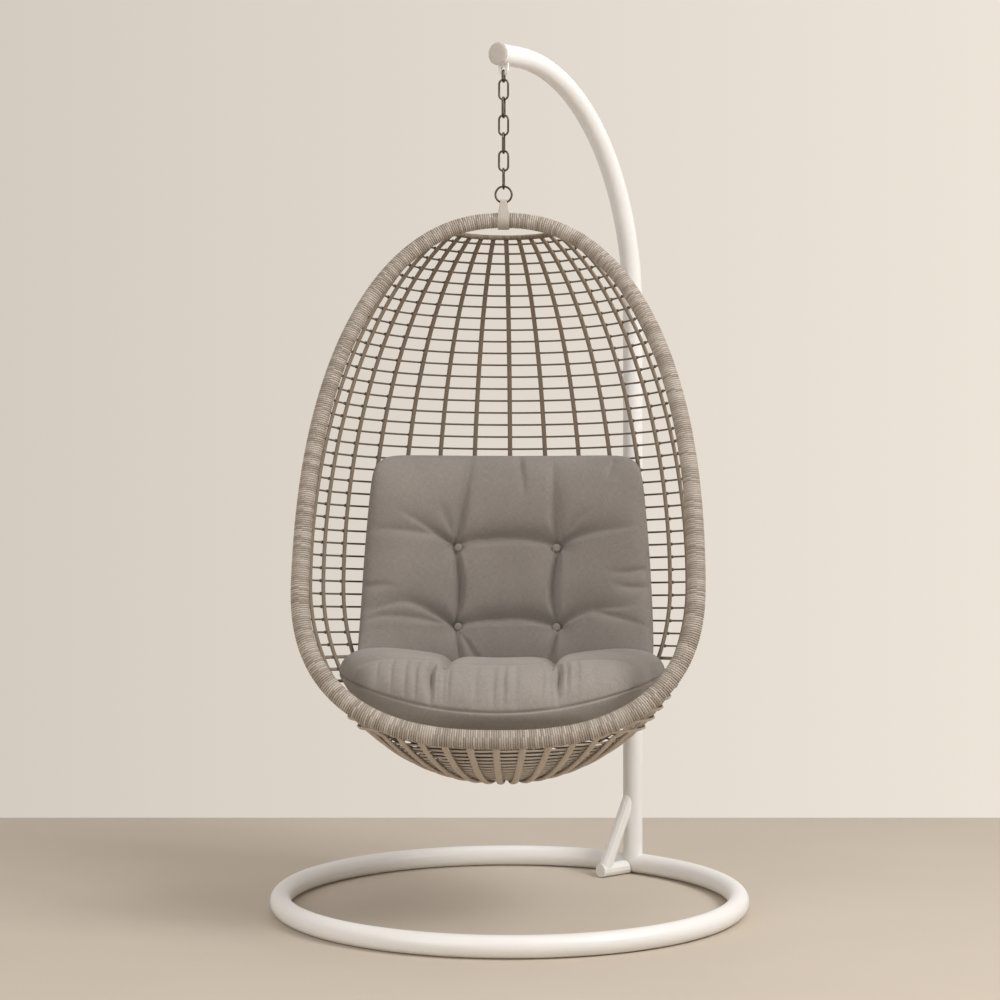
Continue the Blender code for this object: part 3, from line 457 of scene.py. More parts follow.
def powder_coat(name, colour):
    """Satin powder coat with a fine orange-peel skin."""
    finish = Finish(name, roughness=0.36, Coat_Weight=0.12, Coat_Roughness=0.25)
    place = finish.place()
    peel = finish.noise(place, scale=420.0, detail=2.0)
    cloud = finish.noise(place, scale=7.0, detail=2.0)
    finish.tones(cloud, colour, low=0.965, high=1.02)
    finish.roughness(peel * 0.14 + 0.30)
    finish.bump(peel, distance=0.0004, strength=0.35)
    return finish.material


def moulded(name, colour):
    """Matt moulded plastic."""
    finish = Finish(name, roughness=0.5)
    place = finish.place()
    grain = finish.noise(place, scale=900.0, detail=2.0)
    finish.tones(finish.noise(place, scale=60.0), colour, low=0.93, high=1.05)
    finish.roughness(grain * 0.2 + 0.42)
    finish.bump(grain, distance=0.0002, strength=0.4)
    return finish.material


def bronzed_steel(name, colour):
    """Dark bronzed steel, rubbed brighter in patches."""
    finish = Finish(name, roughness=0.36, Metallic=1.0)
    place = finish.place()
    patch = finish.noise(place, scale=170.0, detail=4.0)
    rubbed = ((patch - 0.52) * 5.0).clamp(0.0, 1.0)
    finish.colour(finish.mix(rubbed, colour, shade(colour, 2.6)))
    finish.roughness(patch * 0.35 + 0.2)
    finish.bump(finish.noise(place, scale=700.0), distance=0.0002, strength=0.3)
    return finish.material


def band(name, colour):
    """A folded strap with a fine ribbed face and soft wear."""
    finish = Finish(name, roughness=0.7)
    place = finish.place()
    ribs = finish.node("ShaderNodeTexWave", "Fac", {"bands_direction": "X"},
                       Vector=place, Scale=160.0, Distortion=0.6)
    worn = finish.noise(place, scale=90.0, detail=4.0)
    finish.tones(worn, colour, low=0.80, high=1.12)
    finish.roughness(worn * 0.2 + 0.6)
    finish.bump(ribs * 0.6 + worn, distance=0.0004, strength=0.5)
    return finish.material


def cane(name, light, dark, spread=1.0, change=None):
    """Round resin cane: each turn has a tone of its own and fine streaks along it.

    With change, its tones turn into another light and dark pair along one axis; the basket uses this to paint
    shade on the cane inside the egg.
    """
    finish = Finish(name, roughness=0.55)
    place = finish.place()
    turn = finish.node("ShaderNodeAttribute", "Fac", {"attribute_name": "turn"})
    tone = finish.node("ShaderNodeTexWhiteNoise", "Value", {"noise_dimensions": "1D"}, W=turn.floor())
    streak = finish.noise(place, scale=260.0, detail=4.0)
    share = (tone * 0.75 * spread + streak * 0.5 - 0.12 * spread).clamp(0.0, 1.0)
    shown = finish.mix(share, dark, light)
    if change:
        axis, low, high, pale, deep = change
        way = finish.node("ShaderNodeSeparateXYZ", axis, Vector=place)
        rise = ((way - low) * (1 / (high - low))).clamp(0.0, 1.0)
        shown = finish.mix(rise, shown, finish.mix(share, deep, pale))
    finish.colour(shown)
    finish.roughness(streak * 0.25 + 0.45)
    finish.bump(streak, distance=0.0006, strength=0.5)
    return finish.material


def woven_cloth(name, colour, pitch):
    """Plain weave of melange yarn: crossed threads with slubs, and a dry sheen."""
    finish = Finish(name, roughness=0.92, Sheen_Weight=0.18, Sheen_Roughness=0.5)
    place = finish.node("ShaderNodeUVMap", "UV", {"uv_map": "weave"})
    across = finish.node("ShaderNodeSeparateXYZ", "X", Vector=place)
    along = finish.node("ShaderNodeSeparateXYZ", "Y", Vector=place)
    turn = 2 * math.pi / pitch
    warp = (across * turn).sine()
    weft = (along * turn).sine()
    checker = ((across * (turn / 2)).sine() * (along * (turn / 2)).sine()) * 6.0
    over = (checker + 0.5).clamp(0.0, 1.0)
    height = warp * over + weft * (over * -1.0 + 1.0)
    slub_x = finish.noise(finish.stretch(place, 1200.0, 90.0), scale=1.0, detail=3.0)
    slub_y = finish.noise(finish.stretch(place, 90.0, 1200.0), scale=1.0, detail=3.0)
    cloud = finish.noise(place, scale=9.0, detail=3.0)
    tone = slub_x * 0.9 + slub_y * 0.9 + height * 0.10 + cloud * 0.35 - 0.62
    finish.tones(tone.clamp(0.0, 1.0), colour, low=0.62, high=1.36)
    finish.bump(height * 0.5 + slub_x * 0.6 + slub_y * 0.6, distance=0.0009, strength=0.55)
    return finish.material


def plain_floor(name, colour):
    """Matt studio floor with a faint trowelled cloudiness."""
    finish = Finish(name, roughness=0.75)
    place = finish.place()
    cloud = finish.noise(place, scale=2.2, detail=5.0)
    finish.tones(cloud, colour, low=0.95, high=1.05)
    finish.bump(finish.noise(place, scale=60.0), distance=0.0008, strength=0.15)
    return finish.material


class Tree:
    """A Geometry Nodes tree under construction, with named inputs; node() returns the first output."""

    def __init__(self, name, **inputs):
        self.tree = bpy.data.node_groups.new(name, "GeometryNodeTree")
        self.tree.is_modifier = True
        face = self.tree.interface
        face.new_socket(name="Geometry", in_out="OUTPUT", socket_type="NodeSocketGeometry")
        face.new_socket(name="Geometry", in_out="INPUT", socket_type="NodeSocketGeometry")
        for key, kind in inputs.items():
            face.new_socket(name=key, in_out="INPUT", socket_type="NodeSocket" + kind)
        face.new_socket(name="Material", in_out="INPUT", socket_type="NodeSocketMaterial")
        self.given = self.tree.nodes.new("NodeGroupInput").outputs

    def node(self, kind, settings=None, **inputs):
        return add_node(self.tree, kind, settings, **inputs)[0]

    def math(self, operation, a, b=0.0):
        return self.node("ShaderNodeMath", {"operation": operation}, _0=a, _1=b)

    def vector(self, operation, a, b=None, scale=None):
        inputs = {"_0": a}
        if b is not None:
            inputs["_1"] = b
        if scale is not None:
            inputs["Scale"] = scale
        return self.node("ShaderNodeVectorMath", {"operation": operation}, **inputs)

    def named(self, name, kind="FLOAT"):
        return self.node("GeometryNodeInputNamedAttribute", {"data_type": kind}, Name=name)

    def end(self, geometry):
        geometry = self.node("GeometryNodeRealizeInstances", Geometry=geometry)
        geometry = self.node("GeometryNodeSetMaterial", Geometry=geometry, Material=self.given["Material"])
        add_node(self.tree, "NodeGroupOutput", _0=geometry)
        return self.tree


def kept(store, name, make):
    """What was made before under a name, or else a new one."""
    return store.get(name) or make()


def sweep_tree():
    """Draws an oval section along the lines of a mesh; 'face' points along its thinner way."""
    tree = Tree("Sweep", Width="Float", Depth="Float", Sides="Int")
    curve = tree.node("GeometryNodeMeshToCurve", Mesh=tree.given["Geometry"])
    face = tree.named("face", "FLOAT_VECTOR")
    curve = tree.node("GeometryNodeSetCurveNormal", {"mode": "FREE"}, Curve=curve, Normal=face)
    circle = tree.node("GeometryNodeCurvePrimitiveCircle", Resolution=tree.given["Sides"], Radius=0.5)
    size = tree.node("ShaderNodeCombineXYZ", X=tree.given["Depth"], Y=tree.given["Width"], Z=1.0)
    oval = tree.node("GeometryNodeTransform", Geometry=circle, Scale=size)
    mesh = tree.node("GeometryNodeCurveToMesh", Curve=curve, Profile_Curve=oval, Fill_Caps=True)
    return tree.end(tree.node("GeometryNodeSetShadeSmooth", Geometry=mesh))


def winding_tree():
    """Winds a round cane round the lines of a mesh, whose points carry the tube's radius."""
    tree = Tree("Winding", Turns="Float", Cane="Float", Steps="Int", Sides="Int")
    curve = tree.node("GeometryNodeMeshToCurve", Mesh=tree.given["Geometry"])
    count = tree.math("MULTIPLY", tree.given["Turns"], tree.given["Steps"])
    curve = tree.node("GeometryNodeResampleCurve", Curve=curve, Count=count)
    index = tree.node("GeometryNodeInputIndex")
    turn = tree.math("DIVIDE", index, tree.given["Steps"])
    angle = tree.math("MULTIPLY", turn, 2 * math.pi)
    face = tree.named("face", "FLOAT_VECTOR")
    side = tree.vector("CROSS_PRODUCT", tree.node("GeometryNodeInputTangent"), face)
    side = tree.vector("NORMALIZE", side)
    reach = tree.math("SUBTRACT", tree.named("tube"), tree.math("MULTIPLY", tree.given["Cane"], 0.5))
    out = tree.vector("SCALE", face, scale=tree.math("MULTIPLY", reach, tree.math("COSINE", angle)))
    over = tree.vector("SCALE", side, scale=tree.math("MULTIPLY", reach, tree.math("SINE", angle)))
    curve = tree.node("GeometryNodeStoreNamedAttribute", {"data_type": "FLOAT", "domain": "POINT"},
                      Geometry=curve, Name="turn", Value=turn)
    curve = tree.node("GeometryNodeSetPosition", Geometry=curve, Offset=tree.vector("ADD", out, over))
    half = tree.math("MULTIPLY", tree.given["Cane"], CANE_RADIUS_SHARE)
    circle = tree.node("GeometryNodeCurvePrimitiveCircle", Resolution=tree.given["Sides"], Radius=half)
    mesh = tree.node("GeometryNodeCurveToMesh", Curve=curve, Profile_Curve=circle, Fill_Caps=True)
    return tree.end(tree.node("GeometryNodeSetShadeSmooth", Geometry=mesh))


def knot_tree():
    """Sets a small oval knot on each point of a mesh, lying along the way in 'face'."""
    tree = Tree("Knots", Size="Float")
    ball = tree.node("GeometryNodeMeshUVSphere", Segments=8, Rings=6, Radius=0.5)
    ball = tree.node("GeometryNodeSetShadeSmooth", Geometry=ball)
    size = tree.given["Size"]
    height = tree.math("MULTIPLY", size, KNOT_HEIGHT_SHARE)
    scale = tree.node("ShaderNodeCombineXYZ", X=size, Y=size, Z=height)
    face = tree.named("face", "FLOAT_VECTOR")
    turn = tree.node("FunctionNodeAlignRotationToVector", {"axis": "Z"}, Vector=face)
    points = tree.node("GeometryNodeInstanceOnPoints", Points=tree.given["Geometry"], Instance=ball,
                       Rotation=turn, Scale=scale)
    return tree.end(points)


def add_object(name, data):
    """A new object in the scene."""
    piece = bpy.data.objects.new(name, data)
    bpy.context.scene.collection.objects.link(piece)
    return piece


def grow(name, tree, lines, material, closed=False, tubes=None, **inputs):
    """Runs a tree on polylines of (point, face) pairs and returns the result as a plain mesh object."""
    verts = []
    faces = []
    edges = []
    for line in lines:
        first = len(verts)
        verts += [point for point, face in line]
        faces += [face for point, face in line]
        edges += [(first + i, first + i + 1) for i in range(len(line) - 1)]
        if closed:
            edges.append((len(verts) - 1, first))
    seed = bpy.data.meshes.new(name)
    seed.from_pydata(verts, edges, [])
    ways = seed.attributes.new("face", "FLOAT_VECTOR", "POINT")
    ways.data.foreach_set("vector", [c for face in faces for c in face])
    if tubes:
        seed.attributes.new("tube", "FLOAT", "POINT").data.foreach_set("value", tubes)
    source = add_object(name, seed)
    change = source.modifiers.new("Grow", "NODES")
    change.node_group = tree
    inputs["Material"] = material
    for item in tree.interface.items_tree:
        if item.in_out == "INPUT" and item.name in inputs:
            change[item.identifier] = inputs[item.name]
    graph = bpy.context.evaluated_depsgraph_get()
    graph.update()
    mesh = bpy.data.meshes.new_from_object(source.evaluated_get(graph), depsgraph=graph)
    bpy.data.objects.remove(source)
    bpy.data.meshes.remove(seed)
    mesh.name = name
    return add_object(name, mesh)


def hand_in(piece, body, slot, *nodes):
    """Lets a piece ride on its body in place of the solids it stands for."""
    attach(piece, body)
    if nodes:
        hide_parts(*nodes)


def angles(count):
    """Angles of a full turn in even steps."""
    return [2 * math.pi * i / count for i in range(count)]


def signed_power(value, power):
    """A power that keeps the sign of its base."""
    return math.copysign(abs(value) ** power, value)


def length_of(points):
    """Length of a line through points."""
    return sum((b - a).length for a, b in zip(points, points[1:]))


def join_loops(mesh, loops, closed=False):
    """Joins each loop of vertices to the next by a band of faces; an open row of loops gets end caps."""
    spans = list(zip(loops, loops[1:])) + ([(loops[-1], loops[0])] if closed else [])
    for near, far in spans:
        for k in range(len(near)):
            j = (k + 1) % len(near)
            mesh.faces.new((near[k], near[j], far[j], far[k]))
    if not closed:
        mesh.faces.new(loops[0][::-1])
        mesh.faces.new(loops[-1])


def tube_mesh(name, path, normals, radius, material, closed=False, ends=None):
    """A smooth round tube; ends() may move the points of its first loop."""
    loops = []
    last = len(path) - 1
    for i, point in enumerate(path):
        before = path[i - 1] if closed or i else point
        after = path[(i + 1) % len(path)] if closed or i < last else point
        tangent = (after - before).normalized()
        side = tangent.cross(normals[i]).normalized()
        normal = side.cross(tangent)
        loops.append([
            point + (normal * math.cos(a) + side * math.sin(a)) * radius for a in angles(TUBE_SIDES)
        ])
    if ends:
        loops[0] = [ends(p) for p in loops[0]]
    mesh = bmesh.new()
    join_loops(mesh, [[mesh.verts.new(p) for p in loop] for loop in loops], closed)
    return mesh_object(name, mesh, material)


def mesh_object(name, mesh, material, angle=40.0):
    """A smooth-shaded object from a bmesh."""
    bmesh.ops.recalc_face_normals(mesh, faces=mesh.faces)
    data = bpy.data.meshes.new(name)
    mesh.to_mesh(data)
    mesh.free()
    data.shade_smooth()
    data.set_sharp_from_angle(angle=math.radians(angle))
    data.materials.append(material)
    return add_object(name, data)


def arm_point(reach, height):
    """A point of the mast and arm: its reach from the mast towards the middle, and its height."""
    return ARM_OUT * (RING_PATH - reach) + UP * height


def paint(material, *nodes):
    """Gives solids that stay in view their finish."""
    for name in nodes:
        data = frame["nodes"][name].data
        data.materials.clear()
        data.materials.append(material)


def build_stand(colours):
    """Smooth ring, mast and arm; the small tubes keep their solids."""
    white = powder_coat("white_powder_coat", colours.white)
    path = [
        Vector((RING_PATH * math.cos(a), RING_PATH * math.sin(a), RING_HEIGHT)) for a in angles(RING_PARTS)
    ]
    ring = tube_mesh("base_ring_tube", path, [UP] * RING_PARTS, RING_HEIGHT, white, closed=True)
    hand_in(ring, "stand", "stand_white", "base_ring")

    def saddle(point):
        away = math.hypot(point.x, point.y) - RING_PATH
        rise = math.sqrt(max(RING_HEIGHT ** 2 - away ** 2, 0.0))
        return Vector((point.x, point.y, RING_HEIGHT + rise + SADDLE_ROOM))

    side = Vector((ARM_OUT.y, -ARM_OUT.x, 0))
    radius = MAST_TUBE / 2
    path = [arm_point(0, RING_HEIGHT + rise) for rise in MAST_FOOT]
    path.append(arm_point(0, MAST_SPLIT - SPLIT_ROOM))
    mast = tube_mesh("lower_mast_tube", path, [side] * len(path), radius, white, ends=saddle)
    hand_in(mast, "stand", "stand_white", "lower_mast")
    path = [arm_point(0, height) for height in (MAST_SPLIT + SPLIT_ROOM, *ARM_STRAIGHT)]
    for i in range(BEND_PARTS + 1):
        a = math.pi / 2 * i / BEND_PARTS
        path.append(arm_point(BEND_REACH * (1 - math.cos(a)), BEND_START + BEND_RISE * math.sin(a)))
    path.append(arm_point(ARM_LENGTH, BEND_START + BEND_RISE))
    arm = tube_mesh("upper_arm_tube", path, [side] * len(path), radius, white)
    hand_in(arm, "stand", "stand_white", "upper_arm")
    paint(white, "foot_spur", "brace_strut", "foot_spigot", "mast_sleeve", "hang_lug")
    paint(moulded("plug_plastic", colours.plug), "arm_end_plug")


def build_chain(colours, sweep):
    """Round links and ring, each riding on its own body."""
    steel = bronzed_steel("bronzed_steel", colours.steel)
    wire = {"Width": CHAIN_WIRE, "Depth": CHAIN_WIRE, "Sides": WIRE_SIDES}
    turn_step = (CHAIN_TURN - BASKET_TURN) / LINK_COUNT
    spot = Vector(JOINTS["chain_swing"]["pos_m"])
    height = spot.z + (FIRST_LINK_WIDTH - CHAIN_WIRE) / 2
    for k in range(LINK_COUNT):
        pitch = LINK_PITCH if k else FIRST_LINK_PITCH
        bend = ((LINK_WIDTH if k else FIRST_LINK_WIDTH) - CHAIN_WIRE) / 2
        across = math.radians(90.0 if k % 2 == 0 else 0.0) - CHAIN_TURN + turn_step * k
        way = Vector((math.cos(across), math.sin(across), 0))
        path = []
        for middle, start in ((-bend, 0.0), (bend - pitch - LINK_STEP, math.pi)):
            for i in range(LINK_PARTS + 1):
                a = start + math.pi * i / LINK_PARTS
                point = way * (bend * math.cos(a)) + UP * (middle + bend * math.sin(a))
                path.append((Vector((spot.x, spot.y, height)) + point, way.cross(UP)))
        link = grow(f"link_{k + 1}_wire", sweep, [path], steel, closed=True, **wire)
        hand_in(link, f"link_{k + 1}", "chain_steel", f"chain_link_{k + 1}")
        height -= pitch
    loop = (HANGER_RING - CHAIN_WIRE) / 2
    way = Vector((math.cos(BASKET_TURN), -math.sin(BASKET_TURN), 0))
    path = []
    for a in angles(HANGER_PARTS):
        point = way * (loop * math.cos(a)) + UP * (loop * math.sin(a) - loop)
        path.append((Vector((spot.x, spot.y, height)) + point, way.cross(UP)))
    ring = grow("hanger_ring_wire", sweep, [path], steel, closed=True, **wire)
    hand_in(ring, "ring", "chain_steel", "hanger_ring")


def rim_share(z):
    """Share of the rim's height, from 0 at its top to 1 at its foot."""
    return min(max((RIM_TOP - z) / (RIM_UPPER + RIM_LOWER), 0.0), 1.0)


def rim_radius(z):
    """Radius of the wound rim at a height."""
    return (RIM_TOP_TUBE + (RIM_FOOT_TUBE - RIM_TOP_TUBE) * rim_share(z)) / 2


def rim_half_width(z):
    """Half the width of the rim's middle line at a height."""
    upper = z > RIM_WAIST
    power = RIM_UPPER_POWER if upper else RIM_LOWER_POWER
    share = min(abs(z - RIM_WAIST) / (RIM_UPPER if upper else RIM_LOWER), 1.0)
    return RIM_HALF_WIDTH * (1 - share ** power) ** (1 / power)


def rim_outline(angle):
    """A point of the rim's middle line, in the basket's axes."""
    c = math.cos(angle)
    s = math.sin(angle)
    power = 2 / (RIM_UPPER_POWER if s > 0 else RIM_LOWER_POWER)
    x = RIM_HALF_WIDTH * signed_power(c, power)
    z = RIM_WAIST + (RIM_UPPER if s > 0 else RIM_LOWER) * signed_power(s, power)
    return Vector((x, -RIM_FORWARD * rim_share(z), z))


def even(points, count):
    """Points at even steps along a line."""
    table = np.array([tuple(p) for p in points])
    lengths = np.concatenate([[0.0], np.cumsum(np.linalg.norm(np.diff(table, axis=0), axis=1))])
    goals = np.linspace(0.0, lengths[-1], count + 1)
    columns = [np.interp(goals, lengths, table[:, k]) for k in range(3)]
    return [Vector(p) for p in zip(*columns)]


RIM_FACE = Vector((0, -(RIM_UPPER + RIM_LOWER), RIM_FORWARD)).normalized()
RIM_TURNS = [math.pi / 2 + 2 * math.pi * i / RIM_FINE_PARTS for i in range(RIM_FINE_PARTS + 1)]
RIM_LINE = even([rim_outline(angle) for angle in RIM_TURNS], RIM_PARTS)
RIM_TABLE = np.array([tuple(p) for p in RIM_LINE])


def rim_distance(point):
    """Distance from a point to the rim's wound surface."""
    gap = np.linalg.norm(RIM_TABLE - np.array(point), axis=1)
    i = int(gap.argmin())
    return gap[i] - rim_radius(RIM_TABLE[i][2])


def egg_reach(z):
    """Half height of the egg on the side of its equator where a height lies."""
    return EGG_UPPER if z > EQUATOR else EGG_LOWER


def egg_radius(z):
    """Radius of the egg at a height."""
    return EGG_RADIUS * math.sqrt(max(1 - ((z - EQUATOR) / egg_reach(z)) ** 2, 0.0))


def egg_normal(theta, z):
    """The way straight out of the egg, at an angle from its back and a height."""
    flat = Vector((egg_radius(z) / EGG_RADIUS ** 2, (z - EQUATOR) / egg_reach(z) ** 2)).normalized()
    return Vector((flat.x * math.sin(theta), flat.x * math.cos(theta), flat.y))


def wall(theta, z, lift=0.0):
    """A point of the woven wall: the egg at the back, drawn to the rim at the front."""
    radius = egg_radius(z)
    if abs(theta) > math.pi / 2 and RIM_FOOT < z < RIM_TOP:
        half = rim_half_width(z)
        forward = RIM_FORWARD * rim_share(z)
        share = min((abs(theta) - math.pi / 2) / (math.atan2(half, -forward) - math.pi / 2), 1.0)
        radius += (math.hypot(half, forward) - radius) * share ** 2
    point = Vector((radius * math.sin(theta), radius * math.cos(theta), z))
    return point + egg_normal(theta, z) * lift


def under_rim(theta, z):
    """Whether a place of the wall lies behind or below the rim."""
    if z <= RIM_FOOT:
        return True
    return abs(theta) < math.atan2(rim_half_width(z), -RIM_FORWARD * rim_share(z))


def height_at(radius, upper):
    """Height at which the upper or lower half of the egg has a radius."""
    drop = math.sqrt(1 - (radius / EGG_RADIUS) ** 2)
    return EQUATOR + (EGG_UPPER if upper else -EGG_LOWER) * drop


def heights(start, end, count=None, pitch=None):
    """Heights at even steps along the egg's side."""
    def own(z):
        return math.asin((z - EQUATOR) / egg_reach(z))

    line = []
    for i in range(EGG_SIDE_PARTS + 1):
        angle = own(start) + (own(end) - own(start)) * i / EGG_SIDE_PARTS
        z = EQUATOR + (EGG_UPPER if angle > 0 else EGG_LOWER) * math.sin(angle)
        line.append(Vector((egg_radius(z), 0, z)))
    return [p.z for p in even(line, count or max(round(length_of(line) / pitch), 1))]


CROWN_HEIGHT = height_at(CROWN_RADIUS, True)
HUB_HEIGHT = height_at(HUB_RADIUS, False)
BOWL_TURN_END = height_at(HUB_RADIUS + 2 * RIB_RADIUS, False)
BOWL_EDGE = RIM_FOOT + BOWL_EDGE_RISE


def bowl(theta, z, lift=0.0):
    """A (point, face) pair of the wall whose weave, below the rim's foot, turns back to the hub."""
    begun, here, done = [
        math.asin((h - EQUATOR) / EGG_LOWER) for h in (RIM_FOOT, min(z, EQUATOR), BOWL_TURN_END)
    ]
    share = min(max((begun - here) / (begun - done), 0.0), 1.0) ** BOWL_TURN_POWER
    middle = Vector((0, 0, EQUATOR))
    turn = Matrix.Rotation(BOWL_TURN * share, 3, "X")
    return middle + turn @ (wall(theta, z, lift) - middle), turn @ egg_normal(theta, z)


def hung(pairs):
    """(point, face) pairs from the basket's axes to the world's."""
    turn = HANG.to_3x3()
    return [(HANG @ point, turn @ face) for point, face in pairs]


def build_rim(sizes, colours, winding):
    """The rim and the crown hoop, wound turn by turn with cane."""
    material = cane("rim_cane", colours.cane_light, colours.cane_dark, RIM_TONE_SPREAD)
    line = hung([(p, RIM_FACE) for p in RIM_LINE])
    tubes = [rim_radius(p.z) for p in RIM_LINE]
    turns = length_of(RIM_LINE) / sizes.cane
    piece = grow("rim_winding", winding, [line], material, tubes=tubes,
                 Turns=turns, Cane=sizes.cane, Steps=RIM_TURN_PARTS, Sides=CANE_SIDES)
    hand_in(piece, "basket", "wicker_taupe", "rim_wrap")
    end = math.pi / 2
    while rim_distance(wall(end, CROWN_HEIGHT)) < CROWN_TUBE / 2 + HOOP_ROOM:
        end -= SEARCH_TURN
    path = [wall(-end + 2 * end * i / HOOP_PARTS, CROWN_HEIGHT) for i in range(HOOP_PARTS + 1)]
    line = hung([(p, UP) for p in path])
    tubes = [CROWN_TUBE / 2] * len(path)
    hoop = cane("hoop_cane", *shades(colours.rib, HOOP_SHADES))
    turns = length_of(path) / HOOP_CANE
    piece = grow("crown_hoop_winding", winding, [line], hoop, tubes=tubes,
                 Turns=turns, Cane=HOOP_CANE, Steps=HOOP_TURN_PARTS, Sides=CANE_SIDES)
    hand_in(piece, "basket", "wicker_taupe", "crown_hoop")


def build_ribs(sizes, colours, sweep):
    """The ribs of the back, one piece each."""
    material = cane("rib_cane", *shades(colours.rib, RIB_SHADES))
    top = CROWN_HEIGHT - (CROWN_TUBE / 2 + RIB_TOP_ROOM) * math.hypot(*egg_normal(0, CROWN_HEIGHT).xy)
    foot = height_at(HUB_RADIUS + RIB_FOOT_ROOM, False)
    for k in range(-BACK_RIBS, BACK_RIBS + 1):
        theta = RIB_STEP * k
        start = top
        while rim_distance(wall(theta, start)) < sizes.rib_width / 2:
            start -= SEARCH_DROP
        path = [bowl(theta, z) for z in heights(start, foot, RIB_PARTS)]
        name = f"{k + BACK_RIBS + 1:02d}"
        rib = grow("rib_" + name, sweep, [hung(path)], material,
                   Width=sizes.rib_width, Depth=sizes.rib_depth, Sides=RIB_SIDES)
        hand_in(rib, "basket", "wicker_taupe", "back_rib_" + name)


def bowl_cane_with_painted_shade(colours):
    """Cane of the bowl, which takes the back ribs' darker tone above the seat: painted shade, as there the
    cane lies inside the egg.
    """
    # Painted shade: above the seat the cane darkens to the back ribs' tone
    change = ("Z", *BOWL_RIB_SHADE_HEIGHTS, *shades(colours.rib, RIB_SHADES))
    return kept(bpy.data.materials, "bowl_cane_with_painted_shade",
                lambda: cane("bowl_cane_with_painted_shade", *shades(colours.bowl, BOWL_SHADES), change=change))


def row_end(z, lift, room):
    """How far round a row runs before it turns back at the rim."""
    room += ROW_ROOM if z > RIM_WAIST else LOW_ROW_ROOM
    theta = RIB_STEP * (BACK_RIBS - 0.5)
    while theta < math.pi and under_rim(theta, z) and rim_distance(wall(theta, z, lift)) > room:
        theta += SEARCH_TURN
    return theta - SEARCH_TURN


def build_rows(sizes, colours, sweep, knots):
    """The rows of the back: each strand runs to and fro without a break, knotted to every rib."""
    material = cane("row_cane", *shades(colours.row, ROW_SHADES))
    pale = bowl_cane_with_painted_shade(colours)
    lift = (sizes.rib_depth + sizes.row) / 2
    levels = heights(CROWN_HEIGHT, RIM_FOOT + RIM_FOOT_TUBE / 2, pitch=ROW_PITCH)[1:]
    share = len(levels) / STRAND_COUNT
    ties = []
    for k in range(STRAND_COUNT):
        path = []
        side = 1.0
        mine = levels[round(k * share):round((k + 1) * share)]
        for i, z in enumerate(mine):
            end = row_end(z, lift, sizes.row / 2)
            count = max(int(2 * end / ROW_PART), ROW_LEAST_PARTS)
            for j in range(count + 1):
                theta = side * (2 * j / count - 1) * end
                front = max(abs(theta) - math.pi / 2, 0.0) / ROW_EASE_TURN
                ease = ROW_EASE * min(front, 1.0) if z < RIM_WAIST else 0.0
                path.append((wall(theta, z, lift + ease), egg_normal(theta, z)))
            if i + 1 < len(mine):
                after = row_end(mine[i + 1], lift, sizes.row / 2)
                for j in range(1, ROW_TURN_PARTS):
                    t = j / ROW_TURN_PARTS
                    theta = side * (end + (after - end) * t)
                    path.append((wall(theta, z + (mine[i + 1] - z) * t, lift), egg_normal(theta, z)))
            side = -side
            for n in range(-SIDE_RIBS, SIDE_RIBS + 1):
                theta = RIB_STEP * n
                if abs(theta) < end - TIE_TURN_ROOM and z < CROWN_HEIGHT - TIE_CROWN_ROOM:
                    ties.append((wall(theta, z, lift + sizes.row * TIE_LIFT_SHARE), egg_normal(theta, z)))
        low = k == STRAND_COUNT - 1
        width = sizes.row * (LOW_ROW_WIDTH_SHARE if low else 1.0)
        strand = grow(f"back_strand_{k + 1}", sweep, [hung(path)], pale if low else material,
                      Width=width, Depth=sizes.row, Sides=ROW_SIDES)
        hand_in(strand, "basket", "wicker_taupe", f"wicker_strand_{k + 1}")
    dots = grow("back_knots", knots, [[pair] for pair in hung(ties)], material, Size=sizes.knot)
    hand_in(dots, "basket", "wicker_taupe")


def bowl_rows(lift, room):
    """Lines of the bowl's rows: the spiral, rows between its upper turns in front, and two along the rim."""
    start = RIM_FOOT - RIM_FOOT_TUBE / 4
    end = height_at(HUB_RADIUS + BOWL_PITCH, False)
    loops = len(heights(start, end, pitch=BOWL_PITCH)) - 1
    levels = heights(start, end, loops * BOWL_TURN_PARTS)
    half_turn = BOWL_TURN_PARTS // 2
    whole = BOWL_TURN_PARTS * (1 - BOWL_FRONT / math.pi) - 1
    spiral = []
    between = []
    for i, z in enumerate(levels):
        theta = math.remainder(2 * math.pi * i / BOWL_TURN_PARTS, 2 * math.pi)
        spiral.append(bowl(theta, z, lift))
        if abs(theta) > BOWL_FRONT and i + half_turn < BOWL_TURN_PARTS * BOWL_CLOSE_TURNS:
            if not between or len(between[-1]) >= whole:
                between.append([])
            between[-1].append(bowl(theta, levels[i + half_turn], lift))
    end = row_end(BOWL_EDGE, lift, room)
    parts = [i / BOWL_EDGE_PARTS for i in range(BOWL_EDGE_PARTS + 1)]
    for side in (-1, 1):
        turns = [side * (BOWL_FRONT + (end - BOWL_FRONT) * share) for share in parts]
        between.append([bowl(theta, BOWL_EDGE, lift) for theta in turns])
    return [spiral, *between]


